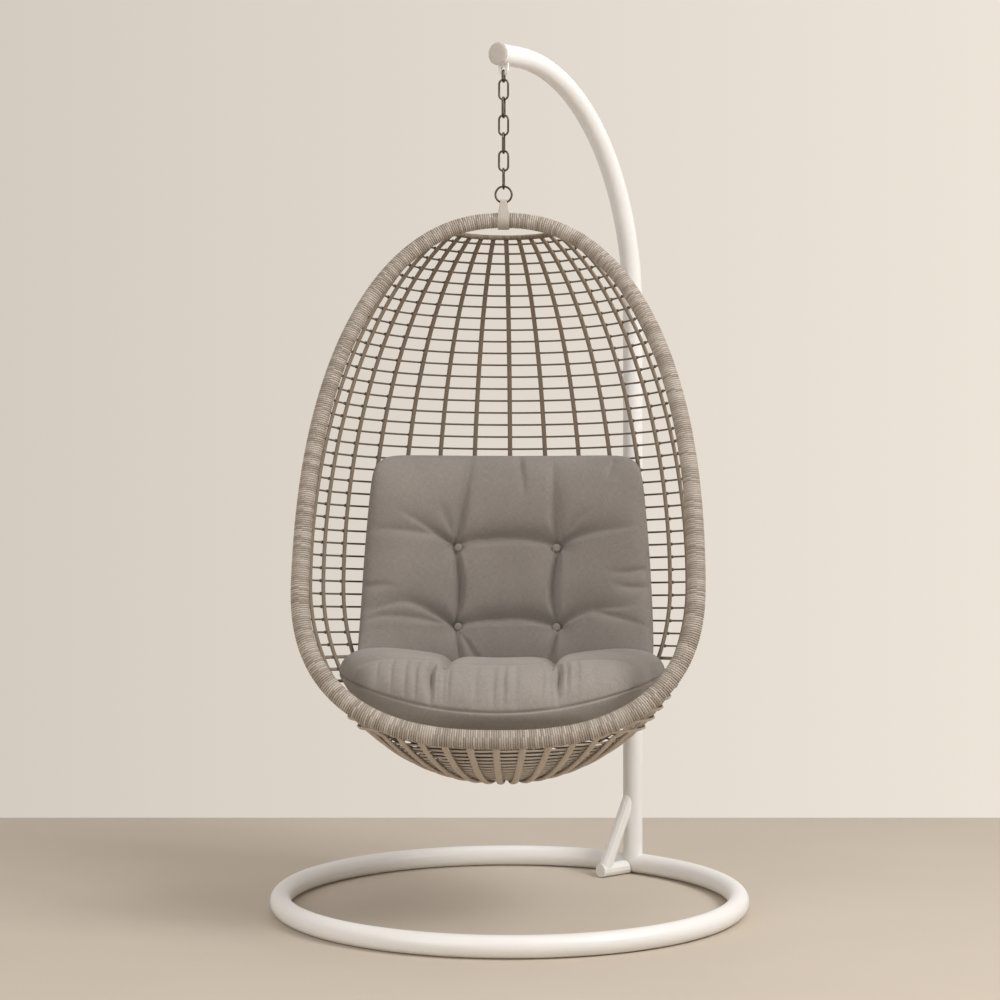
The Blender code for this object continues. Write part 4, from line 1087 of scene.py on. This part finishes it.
def build_bowl(sizes, colours, sweep):
    """Ribs, spiral row and hub under the seat."""
    material = bowl_cane_with_painted_shade(colours)
    turns = round(2 * math.pi / RIB_STEP)
    foot = height_at(HUB_RADIUS * HUB_OVERLAP_SHARE, False)
    room = sizes.rib_depth / 2 + BOWL_RIB_ROOM
    lines = []
    for k in range(BACK_RIBS + 1, turns - BACK_RIBS):
        theta = RIB_STEP * k
        theta -= 2 * math.pi if theta > math.pi else 0.0
        top = RIM_TOP - RIM_TOP_TUBE
        while rim_distance(bowl(theta, top)[0]) < room or not under_rim(theta, top):
            top -= SEARCH_DROP
        lines.append(hung([bowl(theta, z) for z in heights(top, foot, RIB_PARTS)]))
    turn = Matrix.Rotation(BOWL_TURN, 3, "X")
    middle = Vector((0, 0, EQUATOR))
    for radius in np.arange(HUB_FIRST_RING, HUB_RADIUS, HUB_RING_PITCH):
        ring = []
        for i in range(HUB_PARTS + 1):
            a = 2 * math.pi * i / HUB_PARTS
            spoke = Vector((radius * math.sin(a), radius * math.cos(a), HUB_HEIGHT - EQUATOR))
            ring.append((middle + turn @ spoke, turn @ UP))
        lines.append(hung(ring))
    ribs = grow("bowl_ribs", sweep, lines, material, Width=sizes.rib_width * BOWL_RIB_WIDTH_SHARE,
                Depth=sizes.rib_depth, Sides=RIB_SIDES)
    hand_in(ribs, "basket", "wicker_taupe", "bowl_spider")
    lift = -(sizes.rib_depth / 2 + BOWL_ROW_SINK)
    # Painted shade: the rows at the bowl's rear take the back rows' dark tone, so the bowl's inside reads
    # dark through the gaps
    tone = cane("bowl_row_cane_with_painted_shade", *shades(colours.bowl, BOWL_SHADES),
                change=("Y", *BOWL_ROW_SHADE_DEPTHS, *shades(colours.row, ROW_SHADES)))
    lines = [hung(line) for line in bowl_rows(lift, sizes.bowl_row / 2) if len(line) > BOWL_LEAST_POINTS]
    row = grow("bowl_row", sweep, lines, tone,
               Width=sizes.bowl_row, Depth=BOWL_ROW_DEPTH, Sides=BOWL_ROW_SIDES)
    hand_in(row, "basket", "wicker_taupe", "bowl_strand")


def build_strap(colours):
    """The folded strap: rounded edges, wide round the rim and narrow at the ring."""
    material = band("strap_band", colours.strap)
    eye = CHAIN_WIRE / 2 + STRAP_EYE_ROOM
    grip = rim_radius(RIM_TOP) + STRAP_GRIP_ROOM
    lean = math.asin((grip - eye) / STRAP_DROP)
    thick = STRAP_THICKNESS
    mesh = bmesh.new()
    loops = []
    for middle, radius, start, stop, count, width in (
        (0.0, eye, lean, math.pi - lean, STRAP_EYE_PARTS, STRAP_EYE_WIDTH),
        (-STRAP_DROP, grip, math.pi - lean, 2 * math.pi + lean, STRAP_GRIP_PARTS, STRAP_GRIP_WIDTH),
    ):
        for i in range(count + 1):
            a = start + (stop - start) * i / count
            loop = []
            for t in angles(STRAP_SIDES):
                x = width / 2 * signed_power(math.cos(t), STRAP_EDGE_POWER)
                r = radius + thick / 2 + thick / 2 * signed_power(math.sin(t), STRAP_FACE_POWER)
                loop.append(mesh.verts.new(HANG @ Vector((x, r * math.cos(a), middle + r * math.sin(a)))))
            loops.append(loop)
    join_loops(mesh, loops, closed=True)
    piece = mesh_object("hanger_strap_band", mesh, material, angle=60.0)
    hand_in(piece, "basket", "strap_band", "hanger_strap")


# Creases of the back cushion in its face: points (across, up) in metres, then in millimetres the depth
# at the start and at the end, and the reach to the left and to the right of the way they run
BACK_CREASES = (
    (((-0.112, -0.750), (-0.070, -0.737), (0.020, -0.730), (0.075, -0.737), (0.112, -0.750)), 26, 26, 22, 5),
    (((-0.112, -0.930), (-0.060, -0.918), (0.020, -0.912), (0.070, -0.918), (0.112, -0.930)), 26, 26, 20, 5),
    (((-0.112, -0.750), (-0.105, -0.850), (-0.112, -0.930)), 22, 22, 6, 10),
    (((0.112, -0.750), (0.102, -0.850), (0.112, -0.930)), 22, 22, 10, 6),
    (((-0.112, -0.750), (-0.098, -0.652), (-0.084, -0.545)), 24, 9, 12, 8),
    (((0.112, -0.750), (0.105, -0.652), (0.101, -0.540)), 22, 5, 9, 14),
    (((-0.112, -0.750), (-0.155, -0.723), (-0.197, -0.694), (-0.245, -0.668)), 27, 1, 5, 16),
    (((-0.112, -0.750), (-0.168, -0.722), (-0.268, -0.712), (-0.300, -0.716)), 14, 3, 6, 13),
    (((-0.112, -0.750), (-0.138, -0.681), (-0.158, -0.640)), 16, 0, 9, 11),
    (((0.112, -0.750), (0.160, -0.725), (0.206, -0.713), (0.275, -0.706)), 27, 4, 16, 5),
    (((0.112, -0.750), (0.152, -0.694), (0.189, -0.664)), 14, 0, 13, 9),
    (((-0.112, -0.930), (-0.159, -0.902), (-0.197, -0.883), (-0.240, -0.876), (-0.320, -0.898)),
     27, 5, 5, 16),
    (((-0.112, -0.930), (-0.197, -0.912), (-0.273, -0.906), (-0.320, -0.918)), 12, 5, 6, 11),
    (((0.112, -0.930), (0.147, -0.908), (0.198, -0.891), (0.275, -0.884)), 27, 4, 16, 5),
    (((0.198, -0.893), (0.240, -0.904), (0.315, -0.926)), 11, 5, 9, 6),
    (((-0.112, -0.930), (-0.107, -0.985), (-0.104, -1.012)), 22, 10, 7, 7),
    (((-0.112, -0.930), (-0.085, -0.975), (-0.066, -1.010)), 14, 5, 8, 8),
    (((0.112, -0.930), (0.102, -0.985), (0.098, -1.012)), 21, 10, 7, 7),
    (((0.026, -0.538), (0.034, -0.589), (0.040, -0.645)), 17, 0, 6, 8),
    (((-0.218, -0.540), (-0.208, -0.575)), 7, 0, 8, 8),
    (((0.240, -0.555), (0.225, -0.600)), 7, 0, 8, 8),
    (((0.312, -0.800), (0.262, -0.806), (0.220, -0.800)), 9, 0, 8, 6),
    (((0.316, -0.840), (0.265, -0.838), (0.235, -0.826)), 9, 0, 8, 6),
    (((-0.318, -0.840), (-0.275, -0.836), (-0.240, -0.842)), 8, 0, 6, 8),
)
# Pleats of the seat's front: place across in metres, then depth and reach in millimetres
SEAT_PLEATS = (
    (-0.232, 3, 7), (-0.203, 4, 5), (-0.176, 5, 5), (-0.155, 6, 4), (-0.126, 22, 8), (-0.112, 9, 4),
    (-0.092, 9, 5), (-0.040, 5, 7), (-0.006, 7, 4), (0.014, 8, 4), (0.036, 5, 6), (0.087, 8, 5),
    (0.116, 22, 8), (0.133, 9, 4), (0.152, 6, 5), (0.185, 4, 7), (0.240, 3, 7),
)


def crown(u, v):
    """How full a pad is, from 0 at its sewn edge to 1 in its middle."""
    return np.sqrt(np.clip((1 - u ** 4) * (1 - v ** 4), 0.0, 1.0))


def shares(count):
    """Shares from -1 to 1, closer together near the ends."""
    return np.sin(np.pi / 2 * np.linspace(-1.0, 1.0, count + 1))


def dent(away, reach, power):
    """Share of a dent's depth at a distance from its middle."""
    return np.exp(-(away / reach) ** power)


def smooth_line(points, count=24):
    """A rounded line through a few points."""
    table = np.array(points, float)
    if len(table) == 2:
        return np.linspace(table[0], table[1], count)
    ends = np.vstack([2 * table[0] - table[1], table, 2 * table[-1] - table[-2]])
    result = []
    for i in range(1, len(ends) - 2):
        a, b, c, d = ends[i - 1:i + 3]
        for t in np.linspace(0.0, 1.0, count, endpoint=False):
            result.append(0.5 * (2 * b + (c - a) * t + (2 * a - 5 * b + 4 * c - d) * t ** 2
                                 + (3 * b - a - 3 * c + d) * t ** 3))
    return np.array(result + [table[-1]])


def crease_depth(x, z, crease):
    """Depth of one crease at points of the face: steep on one side, easy on the other."""
    points, start, end, left, right = crease
    line = smooth_line(points)
    best = np.full(x.shape, 1e9)
    depth = np.zeros(x.shape)
    share = np.linspace(0.0, 1.0, len(line))
    for i in range(len(line) - 1):
        a = line[i]
        way = line[i + 1] - a
        t = np.clip(((x - a[0]) * way[0] + (z - a[1]) * way[1]) / way.dot(way), 0.0, 1.0)
        dx = x - a[0] - way[0] * t
        dz = z - a[1] - way[1] * t
        away = np.hypot(dx, dz)
        nearer = away < best
        best = np.where(nearer, away, best)
        reach = np.where(way[0] * dz - way[1] * dx > 0, left, right) / 1000
        along = share[i] + (share[i + 1] - share[i]) * t
        value = (start + (end - start) * along) / 1000 * dent(away, reach, CREASE_POWER)
        depth = np.where(nearer, value, depth)
    return depth


def corners(table, order):
    """The four corners of each cell of a grid, in an order."""
    cells = [table[:-1, :-1], table[:-1, 1:], table[1:, 1:], table[1:, :-1]]
    return np.stack([cells[k] for k in order], axis=-1)


def skin(name, front, rear, material):
    """Two grids that share their edge, skinned into one closed pad."""
    rows, columns = front.shape[:2]
    inner = np.zeros((rows, columns), bool)
    inner[1:-1, 1:-1] = True
    face = np.arange(rows * columns).reshape(rows, columns)
    back = face.copy()
    back[inner] = rows * columns + np.arange(inner.sum())
    verts = np.vstack([front.reshape(-1, 3), rear[inner]])
    cells = [corners(face, FRONT_ORDER).reshape(-1, 4), corners(back, REAR_ORDER).reshape(-1, 4)]
    data = bpy.data.meshes.new(name)
    data.from_pydata(verts.tolist(), [], np.vstack(cells).tolist())
    data.materials.append(material)
    data.shade_smooth()
    return add_object(name, data)


def press(grid, depth):
    """Presses a grid inwards, square to its surface."""
    normal = np.cross(np.gradient(grid, axis=1), np.gradient(grid, axis=0))
    normal /= np.maximum(np.linalg.norm(normal, axis=2), 1e-12)[..., None]
    return grid - normal * depth[..., None]


def finer(grid):
    """Twice as many steps both ways, along a rounded surface."""
    for axis in (0, 1):
        grid = np.moveaxis(grid, axis, 0)
        ends = np.concatenate([2 * grid[:1] - grid[1:2], grid, 2 * grid[-1:] - grid[-2:-1]])
        middle = (9 * (ends[1:-2] + ends[2:-1]) - ends[:-3] - ends[3:]) / 16
        result = np.zeros((2 * len(grid) - 1, *grid.shape[1:]))
        result[0::2] = grid
        result[1::2] = middle
        grid = np.moveaxis(result, 0, axis)
    return grid


def smoothed(grid, passes):
    """Evens a grid out over its neighbours."""
    for _ in range(passes):
        for axis in (0, 1):
            grid = (np.roll(grid, 1, axis) + 2 * grid + np.roll(grid, -1, axis)) / 4
    return grid


def thread_map(piece, front, rear):
    """A map in metres along the cloth, so that its threads follow the pad."""
    rows, columns = front.shape[:2]
    layer = piece.data.uv_layers.new(name="weave")
    values = []
    for grid, order in ((front, FRONT_ORDER), (rear, REAR_ORDER)):
        across = np.zeros((rows, columns))
        across[:, 1:] = np.cumsum(np.linalg.norm(np.diff(grid, axis=1), axis=2), axis=1)
        across -= across[:, columns // 2][:, None]
        along = np.zeros((rows, columns))
        along[1:, :] = np.cumsum(np.linalg.norm(np.diff(grid, axis=0), axis=2), axis=0)
        along -= along[rows // 2, :][None, :]
        values.append(np.stack([corners(across, order), corners(along, order)], axis=-1).ravel())
    layer.data.foreach_set("uv", np.concatenate(values).tolist())


def inflate(front, rear, held, cap):
    """Swells a pad's face by a short cloth simulation between its held points, up to the cap."""
    piece = skin("swelling_pad", front, rear, None)
    rows, columns = held.shape
    weights = np.concatenate([held.ravel(), np.ones((rows - 2) * (columns - 2))])
    group = piece.vertex_groups.new(name="held")
    for i in np.nonzero(weights > HELD_LEAST)[0]:
        group.add([int(i)], float(weights[i]), "REPLACE")
    change = piece.modifiers.new("Cloth", "CLOTH")
    settings = change.settings
    for key, value in SWELL_CLOTH.items():
        setattr(settings, key, value)
    settings.vertex_group_mass = group.name
    settings.effector_weights.gravity = 0.0
    change.point_cache.frame_start = 1
    change.point_cache.frame_end = SWELL_FRAMES
    scene = bpy.context.scene
    for number in range(1, SWELL_FRAMES + 1):
        scene.frame_set(number)
    swollen = piece.evaluated_get(bpy.context.evaluated_depsgraph_get())
    table = np.empty(3 * len(weights))
    swollen.data.vertices.foreach_get("co", table)
    scene.frame_set(1)
    data = piece.data
    bpy.data.objects.remove(piece)
    bpy.data.meshes.remove(data)
    move = table.reshape(-1, 3)[:rows * columns].reshape(rows, columns, 3) - front
    length = np.linalg.norm(move, axis=2)
    move *= (np.minimum(length, cap) / np.maximum(length, 1e-9))[..., None]
    return smoothed(move, SWELL_PASSES) * (1 - held)[..., None]


def to_world(grid):
    """Points of a grid from the basket's axes to the world's."""
    table = np.array(HANG)
    return grid @ table[:3, :3].T + table[:3, 3]


def pad_grid():
    """Shares across and along a pad, from edge to edge."""
    return np.meshgrid(*[shares(count) for count in PAD_PARTS])


def button_seats(name):
    """Middles of the solids' buttons in the basket's axes."""
    seats = []
    for k in range(1, BUTTON_COUNT + 1):
        low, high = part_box(f"{name}_{k}")
        seats.append(HANG.inverted() @ Vector((Vector(low) + Vector(high)) / 2))
    return seats


def underside(pad, x, y):
    """Lowest height of a finished pad over points of the plan, in the basket's axes."""
    table = np.empty(3 * len(pad.data.vertices))
    pad.data.vertices.foreach_get("co", table)
    hang = np.array(HANG)
    points = (table.reshape(-1, 3) - hang[:3, 3]) @ hang[:3, :3]
    cells = round(2 * PLAN_HALF / PLAN_CELL)

    def cell(value):
        return np.clip(((value + PLAN_HALF) / PLAN_CELL).astype(int), 1, cells - 2)

    low = np.full((cells, cells), 1.0)
    np.minimum.at(low, (cell(points[:, 0]), cell(points[:, 1])), points[:, 2])
    around = [np.roll(low, (i, j), (0, 1)) for i in (-1, 0, 1) for j in (-1, 0, 1)]
    return np.minimum.reduce(around)[cell(x), cell(y)]


def build_pad(name, front, rear, dips, held, cap, material, groove=None, over=None):
    """Swells the plain pad, then presses its tufts, creases and seam into the fine mesh.

    A pad that lies over it keeps its place, and presses this one down.
    """
    front = front + finer(inflate(front[::2, ::2], rear[::2, ::2], held[::2, ::2], cap))
    front = press(front, dips)
    if groove is not None:
        front = press(front, groove)
        rear = press(rear, -groove)
    if over:
        roof = underside(over, front[..., 0], front[..., 1]) - PAD_ROOM
        drop = np.maximum(front[..., 2] - roof, 0.0)
        front[..., 2] -= np.maximum(drop, smoothed(drop, PRESS_PASSES))
        rear[..., 2] = np.minimum(rear[..., 2], front[..., 2])
    piece = skin(name + "_pad", to_world(front), to_world(rear), material)
    thread_map(piece, front, rear)
    hand_in(piece, "basket", "cushion_fabric", name)


def build_back_pad(material):
    """The back cushion: tufted panels, creases from tuft to tuft and to the edges."""
    u, v = pad_grid()
    wide = BACK_FOOT_HALF_WIDTH + (BACK_TOP_HALF_WIDTH - BACK_FOOT_HALF_WIDTH) * (v + 1) / 2
    corner = 1 - CORNER_PULL * np.abs(u * v) ** CORNER_POWER
    x = wide * u * np.sqrt(1 - BACK_CORNERS[0] * v * v) * corner
    middle = (BACK_TOP + BACK_FOOT) / 2
    z = middle + (BACK_TOP - BACK_FOOT) / 2 * v * np.sqrt(1 - BACK_CORNERS[1] * u * u) * corner
    full = crown(u, v)
    reach = np.where(z > EQUATOR, EGG_UPPER, EGG_LOWER)
    room = EGG_RADIUS * np.sqrt(1 - ((z - EQUATOR) / reach) ** 2) - WALL_ROOM
    pull = BACK_SEAM_PULL + BACK_FOOT_PULL * np.clip(-2 * v - 1, 0.0, 1.0) ** 2
    y = np.sqrt(room ** 2 - x ** 2) - pull * (1 - full)
    rear = np.dstack([x, y, z])
    deepest = to_world(rear)[..., 1].max()
    rear[..., 1] += (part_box("back_cushion")[1][1] - deepest) / math.cos(BASKET_LEAN)
    front = rear.copy()
    front[..., 1] -= BACK_THICKNESS * full
    dips = np.zeros(x.shape)
    for crease in BACK_CREASES:
        depth = crease_depth(x, z, crease)
        dips = np.maximum(dips, depth) + CREASE_OVERLAP * np.minimum(dips, depth)
    for seat in button_seats("back_button"):
        away = np.hypot(x - seat.x, z - seat.z)
        level = front[..., 1].ravel()[away.argmin()]
        depth = seat.y + BUTTON_HEIGHT / 2 - level
        dips = np.maximum(dips, depth * dent(away, BACK_TUFT_REACH, BACK_TUFT_POWER))
    held = np.clip(dips / BACK_HELD_DEPTH, 0.0, 1.0)
    held[full < BACK_HELD_EDGE] = 1.0
    dips = dips * np.clip(full * BACK_EDGE_FADE, 0.0, 1.0)
    build_pad("back_cushion", front, rear, dips, held, BACK_SWELL, material)


def build_seat_pad(material):
    """The seat cushion: three humps, pleats at its front and a plain panel below its seam."""
    u, v = pad_grid()
    x = SEAT_HALF_WIDTH * u * np.sqrt(1 - SEAT_CORNERS[0] * v * v)
    y = (SEAT_BACK - SEAT_FRONT) / 2 + (SEAT_BACK + SEAT_FRONT) / 2 * v * np.sqrt(1 - SEAT_CORNERS[1] * u * u)
    full = crown(u, v)
    seam = SEAT_SEAM + SEAT_CURL * (x / SEAT_HALF_WIDTH) ** 2
    reach = np.minimum(np.hypot(x, y) + WALL_ROOM / SEAT_FLOOR_SLOPE, EGG_RADIUS - EGG_EDGE_ROOM)
    floor = EQUATOR - EGG_LOWER * np.sqrt(1 - (reach / EGG_RADIUS) ** 2) + SEAT_FLOOR_ROOM
    under = np.minimum(np.maximum(SEAT_SEAM - SEAT_BASE, floor), seam)
    rear = np.dstack([x, y, seam + (under - seam) * full])
    shift = (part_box("seat_cushion")[0][2] - to_world(rear)[..., 2].min()) / math.cos(BASKET_LEAN)
    rear[..., 2] += shift
    front = np.dstack([x, y, seam + shift + SEAT_CROWN * full])
    edge = np.clip((-v - PLEAT_START) / PLEAT_RUN, 0.0, 1.0)
    dips = np.zeros(x.shape)
    for place, depth, width in SEAT_PLEATS:
        away = np.abs(x - place * (1 + PLEAT_FAN * edge))
        dips = np.maximum(dips, depth / 1000 * edge * dent(away, width / 1000, PLEAT_POWER))
    before = np.clip((SEAT_TUFTS[0] - VALLEY_EASE_START - y) / VALLEY_EASE_RUN, 0.0, 1.0)
    for side in (-1, 1):
        valley = dent(np.abs(x - side * TUFT_SPREAD), VALLEY_REACH, VALLEY_POWER)
        dips = np.maximum(dips, (VALLEY_DEPTH - VALLEY_EASE * before) * valley)
    for along in SEAT_TUFTS:
        valley = dent(np.abs(y - along), VALLEY_REACH, VALLEY_POWER)
        dips = np.maximum(dips, CROSS_VALLEY_DEPTH * valley)
    for seat in button_seats("seat_button"):
        away = np.hypot(x - seat.x, y - seat.y)
        depth = front[..., 2].ravel()[away.argmin()] - seat.z + BUTTON_HEIGHT / 2
        dips = np.maximum(dips, depth * dent(away, SEAT_TUFT_REACH, SEAT_TUFT_POWER))
    held = np.clip(dips / SEAT_HELD_DEPTH, 0.0, 1.0)
    held[full < SEAT_HELD_EDGE] = 1.0
    groove = SEAM_DEPTH * dent(full, SEAM_REACH, SEAM_POWER)
    dips *= np.clip(full * SEAT_EDGE_FADE, 0.0, 1.0)
    over = bpy.data.objects.get("back_cushion_pad")
    build_pad("seat_cushion", front, rear, dips, held, SEAT_SWELL, material, groove, over)


# Share of the radius and of the height, from the button's back to its front
BUTTON_PROFILE = (
    (0.80, 0.0), (1.0, 0.12), (1.0, 0.32), (0.95, 0.48), (0.84, 0.60), (0.58, 0.69), (0.22, 0.73),
)


def build_buttons(material):
    """Covered buttons, low domes with a drawn-in edge."""
    side = Vector((1, 0, 0))
    back = HANG.inverted()
    for name, out in (("back_button", Vector((0, -1, 0))), ("seat_button", UP)):
        other = out.cross(side)
        for k, seat in enumerate(button_seats(name)):
            mesh = bmesh.new()
            loops = []
            for share, height in BUTTON_PROFILE:
                radius = BUTTON_DIAMETER / 2 * share
                loop = []
                for a in angles(BUTTON_SIDES):
                    point = seat + out * (BUTTON_HEIGHT * (height - 0.5))
                    point += (side * math.cos(a) + other * math.sin(a)) * radius
                    loop.append(mesh.verts.new(HANG @ point))
                loops.append(loop)
            join_loops(mesh, loops)
            button = mesh_object(f"{name}_{k + 1}_cover", mesh, material, angle=80.0)
            layer = button.data.uv_layers.new(name="weave")
            for loop in button.data.loops:
                point = back @ button.data.vertices[loop.vertex_index].co - seat
                layer.data[loop.index].uv = (point.dot(side), point.dot(other))
            hand_in(button, "basket", "cushion_fabric", f"{name}_{k + 1}")


def build_stage(colours):
    """Floor, soft lights, a background with painted light, darker at the left and lighter at the right, and
    the photograph's camera.
    """
    mesh = bmesh.new()
    corners = [
        (-FLOOR_HALF, -FLOOR_HALF, 0), (FLOOR_HALF, -FLOOR_HALF, 0),
        (FLOOR_HALF, FLOOR_BACK, 0), (-FLOOR_HALF, FLOOR_BACK, 0),
    ]
    mesh.faces.new([mesh.verts.new(c) for c in corners])
    floor = mesh_object("studio_floor", mesh, plain_floor("studio_floor", colours.floor))
    world = bpy.data.worlds.new("studio")
    world.use_nodes = True
    sky = Shading(world.node_tree)
    light = sky.node("ShaderNodeBackground", 0, Color=SKY_COLOUR, Strength=SKY_STRENGTH)
    # Painted light: the background that the camera sees runs from darker at the left to lighter at the right
    across = sky.node("ShaderNodeSeparateXYZ", "X", Vector=sky.node("ShaderNodeTexCoord", "Window"))
    plain = sky.node("ShaderNodeBackground", 0, Color=sky.mix(across, *shades(colours.wall, WALL_PAINTED_LIGHT_TONES)))
    kinds = ("Camera", "Glossy", "Transmission")
    rays = [sky.node("ShaderNodeLightPath", f"Is {kind} Ray") for kind in kinds]
    shown = rays[0].larger(rays[1]).larger(rays[2])
    both = sky.node("ShaderNodeMixShader", 0, _0=shown, _1=light, _2=plain)
    feed(world.node_tree, world.node_tree.nodes["World Output"].inputs["Surface"], both)
    scene = bpy.context.scene
    scene.world = world
    scene.view_settings.view_transform = "Standard"
    for name, place, size, power in LAMPS:
        light = bpy.data.lights.new(name, "AREA")
        light.size = size
        light.energy = power
        lamp = add_object(name, light)
        lamp.location = place
        lamp.rotation_euler = (LAMP_AIM - Vector(place)).to_track_quat("-Z", "Y").to_euler()
    lens = bpy.data.cameras.new("photo_camera")
    lens.sensor_width = CAMERA_SENSOR
    lens.lens = CAMERA_LENS
    lens.shift_y = CAMERA_SHIFT
    camera = add_object("photo_camera", lens)
    camera.location = CAMERA_PLACE
    camera.rotation_euler = (math.pi / 2, 0, 0)
    scene.camera = camera


def cushion_cloth(scene):
    """The one cloth of both cushions and their buttons."""
    return kept(bpy.data.materials, "woven_cloth",
                lambda: woven_cloth("woven_cloth", scene.egg_colours.cloth, scene.egg_sizes.weave))


def sweep():
    """The one tree that chain, ribs and rows share."""
    return kept(bpy.data.node_groups, "Sweep", sweep_tree)


class SetStage(bpy.types.Operator):
    """Sets up floor, lights, background and camera"""
    bl_idname = "egg_chair.stage"
    bl_label = "Stage"

    def execute(self, context):
        build_stage(context.scene.egg_colours)
        return {"FINISHED"}


class BuildStand(bpy.types.Operator):
    """Builds the base ring, the mast and the arm, and paints the small parts of the stand"""
    bl_idname = "egg_chair.stand"
    bl_label = "Stand"

    def execute(self, context):
        build_stand(context.scene.egg_colours)
        return {"FINISHED"}


class BuildChain(bpy.types.Operator):
    """Builds the chain's links and the hanger ring"""
    bl_idname = "egg_chair.chain"
    bl_label = "Chain"

    def execute(self, context):
        build_chain(context.scene.egg_colours, sweep())
        return {"FINISHED"}


class BuildStrap(bpy.types.Operator):
    """Builds the strap that carries the basket"""
    bl_idname = "egg_chair.strap"
    bl_label = "Hanger strap"

    def execute(self, context):
        build_strap(context.scene.egg_colours)
        return {"FINISHED"}


class BuildRim(bpy.types.Operator):
    """Winds cane round the rim and the crown hoop"""
    bl_idname = "egg_chair.rim"
    bl_label = "Rim and hoop"

    def execute(self, context):
        scene = context.scene
        build_rim(scene.egg_sizes, scene.egg_colours, kept(bpy.data.node_groups, "Winding", winding_tree))
        return {"FINISHED"}


class BuildRibs(bpy.types.Operator):
    """Builds the ribs of the back"""
    bl_idname = "egg_chair.ribs"
    bl_label = "Back ribs"

    def execute(self, context):
        scene = context.scene
        build_ribs(scene.egg_sizes, scene.egg_colours, sweep())
        return {"FINISHED"}


class BuildRows(bpy.types.Operator):
    """Weaves the rows of the back and ties them to the ribs"""
    bl_idname = "egg_chair.rows"
    bl_label = "Back rows"

    def execute(self, context):
        scene = context.scene
        knots = kept(bpy.data.node_groups, "Knots", knot_tree)
        build_rows(scene.egg_sizes, scene.egg_colours, sweep(), knots)
        return {"FINISHED"}


class BuildBowl(bpy.types.Operator):
    """Builds the ribs, the spiral row and the hub of the bowl"""
    bl_idname = "egg_chair.bowl"
    bl_label = "Bowl"

    def execute(self, context):
        scene = context.scene
        build_bowl(scene.egg_sizes, scene.egg_colours, sweep())
        return {"FINISHED"}


class BuildBackPad(bpy.types.Operator):
    """Sews and fills the back cushion"""
    bl_idname = "egg_chair.back_pad"
    bl_label = "Back cushion"

    def execute(self, context):
        build_back_pad(cushion_cloth(context.scene))
        return {"FINISHED"}


class BuildSeatPad(bpy.types.Operator):
    """Sews and fills the seat cushion"""
    bl_idname = "egg_chair.seat_pad"
    bl_label = "Seat cushion"

    def execute(self, context):
        build_seat_pad(cushion_cloth(context.scene))
        return {"FINISHED"}


class BuildButtons(bpy.types.Operator):
    """Covers the tuft buttons of both cushions"""
    bl_idname = "egg_chair.buttons"
    bl_label = "Buttons"

    def execute(self, context):
        build_buttons(cushion_cloth(context.scene))
        return {"FINISHED"}


STEPS = (
    SetStage, BuildStand, BuildChain, BuildStrap, BuildRim, BuildRibs, BuildRows, BuildBowl,
    BuildBackPad, BuildSeatPad, BuildButtons,
)


class EggChairPanel(bpy.types.Panel):
    """Lists the steps of the chair in the order they are made"""
    bl_idname = "VIEW3D_PT_egg_chair"
    bl_label = "Egg chair"
    bl_space_type = "VIEW_3D"
    bl_region_type = "UI"
    bl_category = "Egg chair"

    def draw(self, context):
        for step in STEPS:
            self.layout.operator(step.bl_idname)


CLASSES = (EggSizes, EggColours, *STEPS, EggChairPanel)


def register():
    for kind in CLASSES:
        bpy.utils.register_class(kind)
    bpy.types.Scene.egg_sizes = bpy.props.PointerProperty(type=EggSizes)
    bpy.types.Scene.egg_colours = bpy.props.PointerProperty(type=EggColours)


def unregister():
    del bpy.types.Scene.egg_colours
    del bpy.types.Scene.egg_sizes
    for kind in reversed(CLASSES):
        bpy.utils.unregister_class(kind)


def main():
    register()
    bpy.ops.egg_chair.stage()
    bpy.ops.egg_chair.stand()
    bpy.ops.egg_chair.chain()
    bpy.ops.egg_chair.strap()
    bpy.ops.egg_chair.rim()
    bpy.ops.egg_chair.ribs()
    bpy.ops.egg_chair.rows()
    bpy.ops.egg_chair.bowl()
    bpy.ops.egg_chair.back_pad()
    bpy.ops.egg_chair.seat_pad()
    bpy.ops.egg_chair.buttons()


if __name__ == "__main__":
    main()
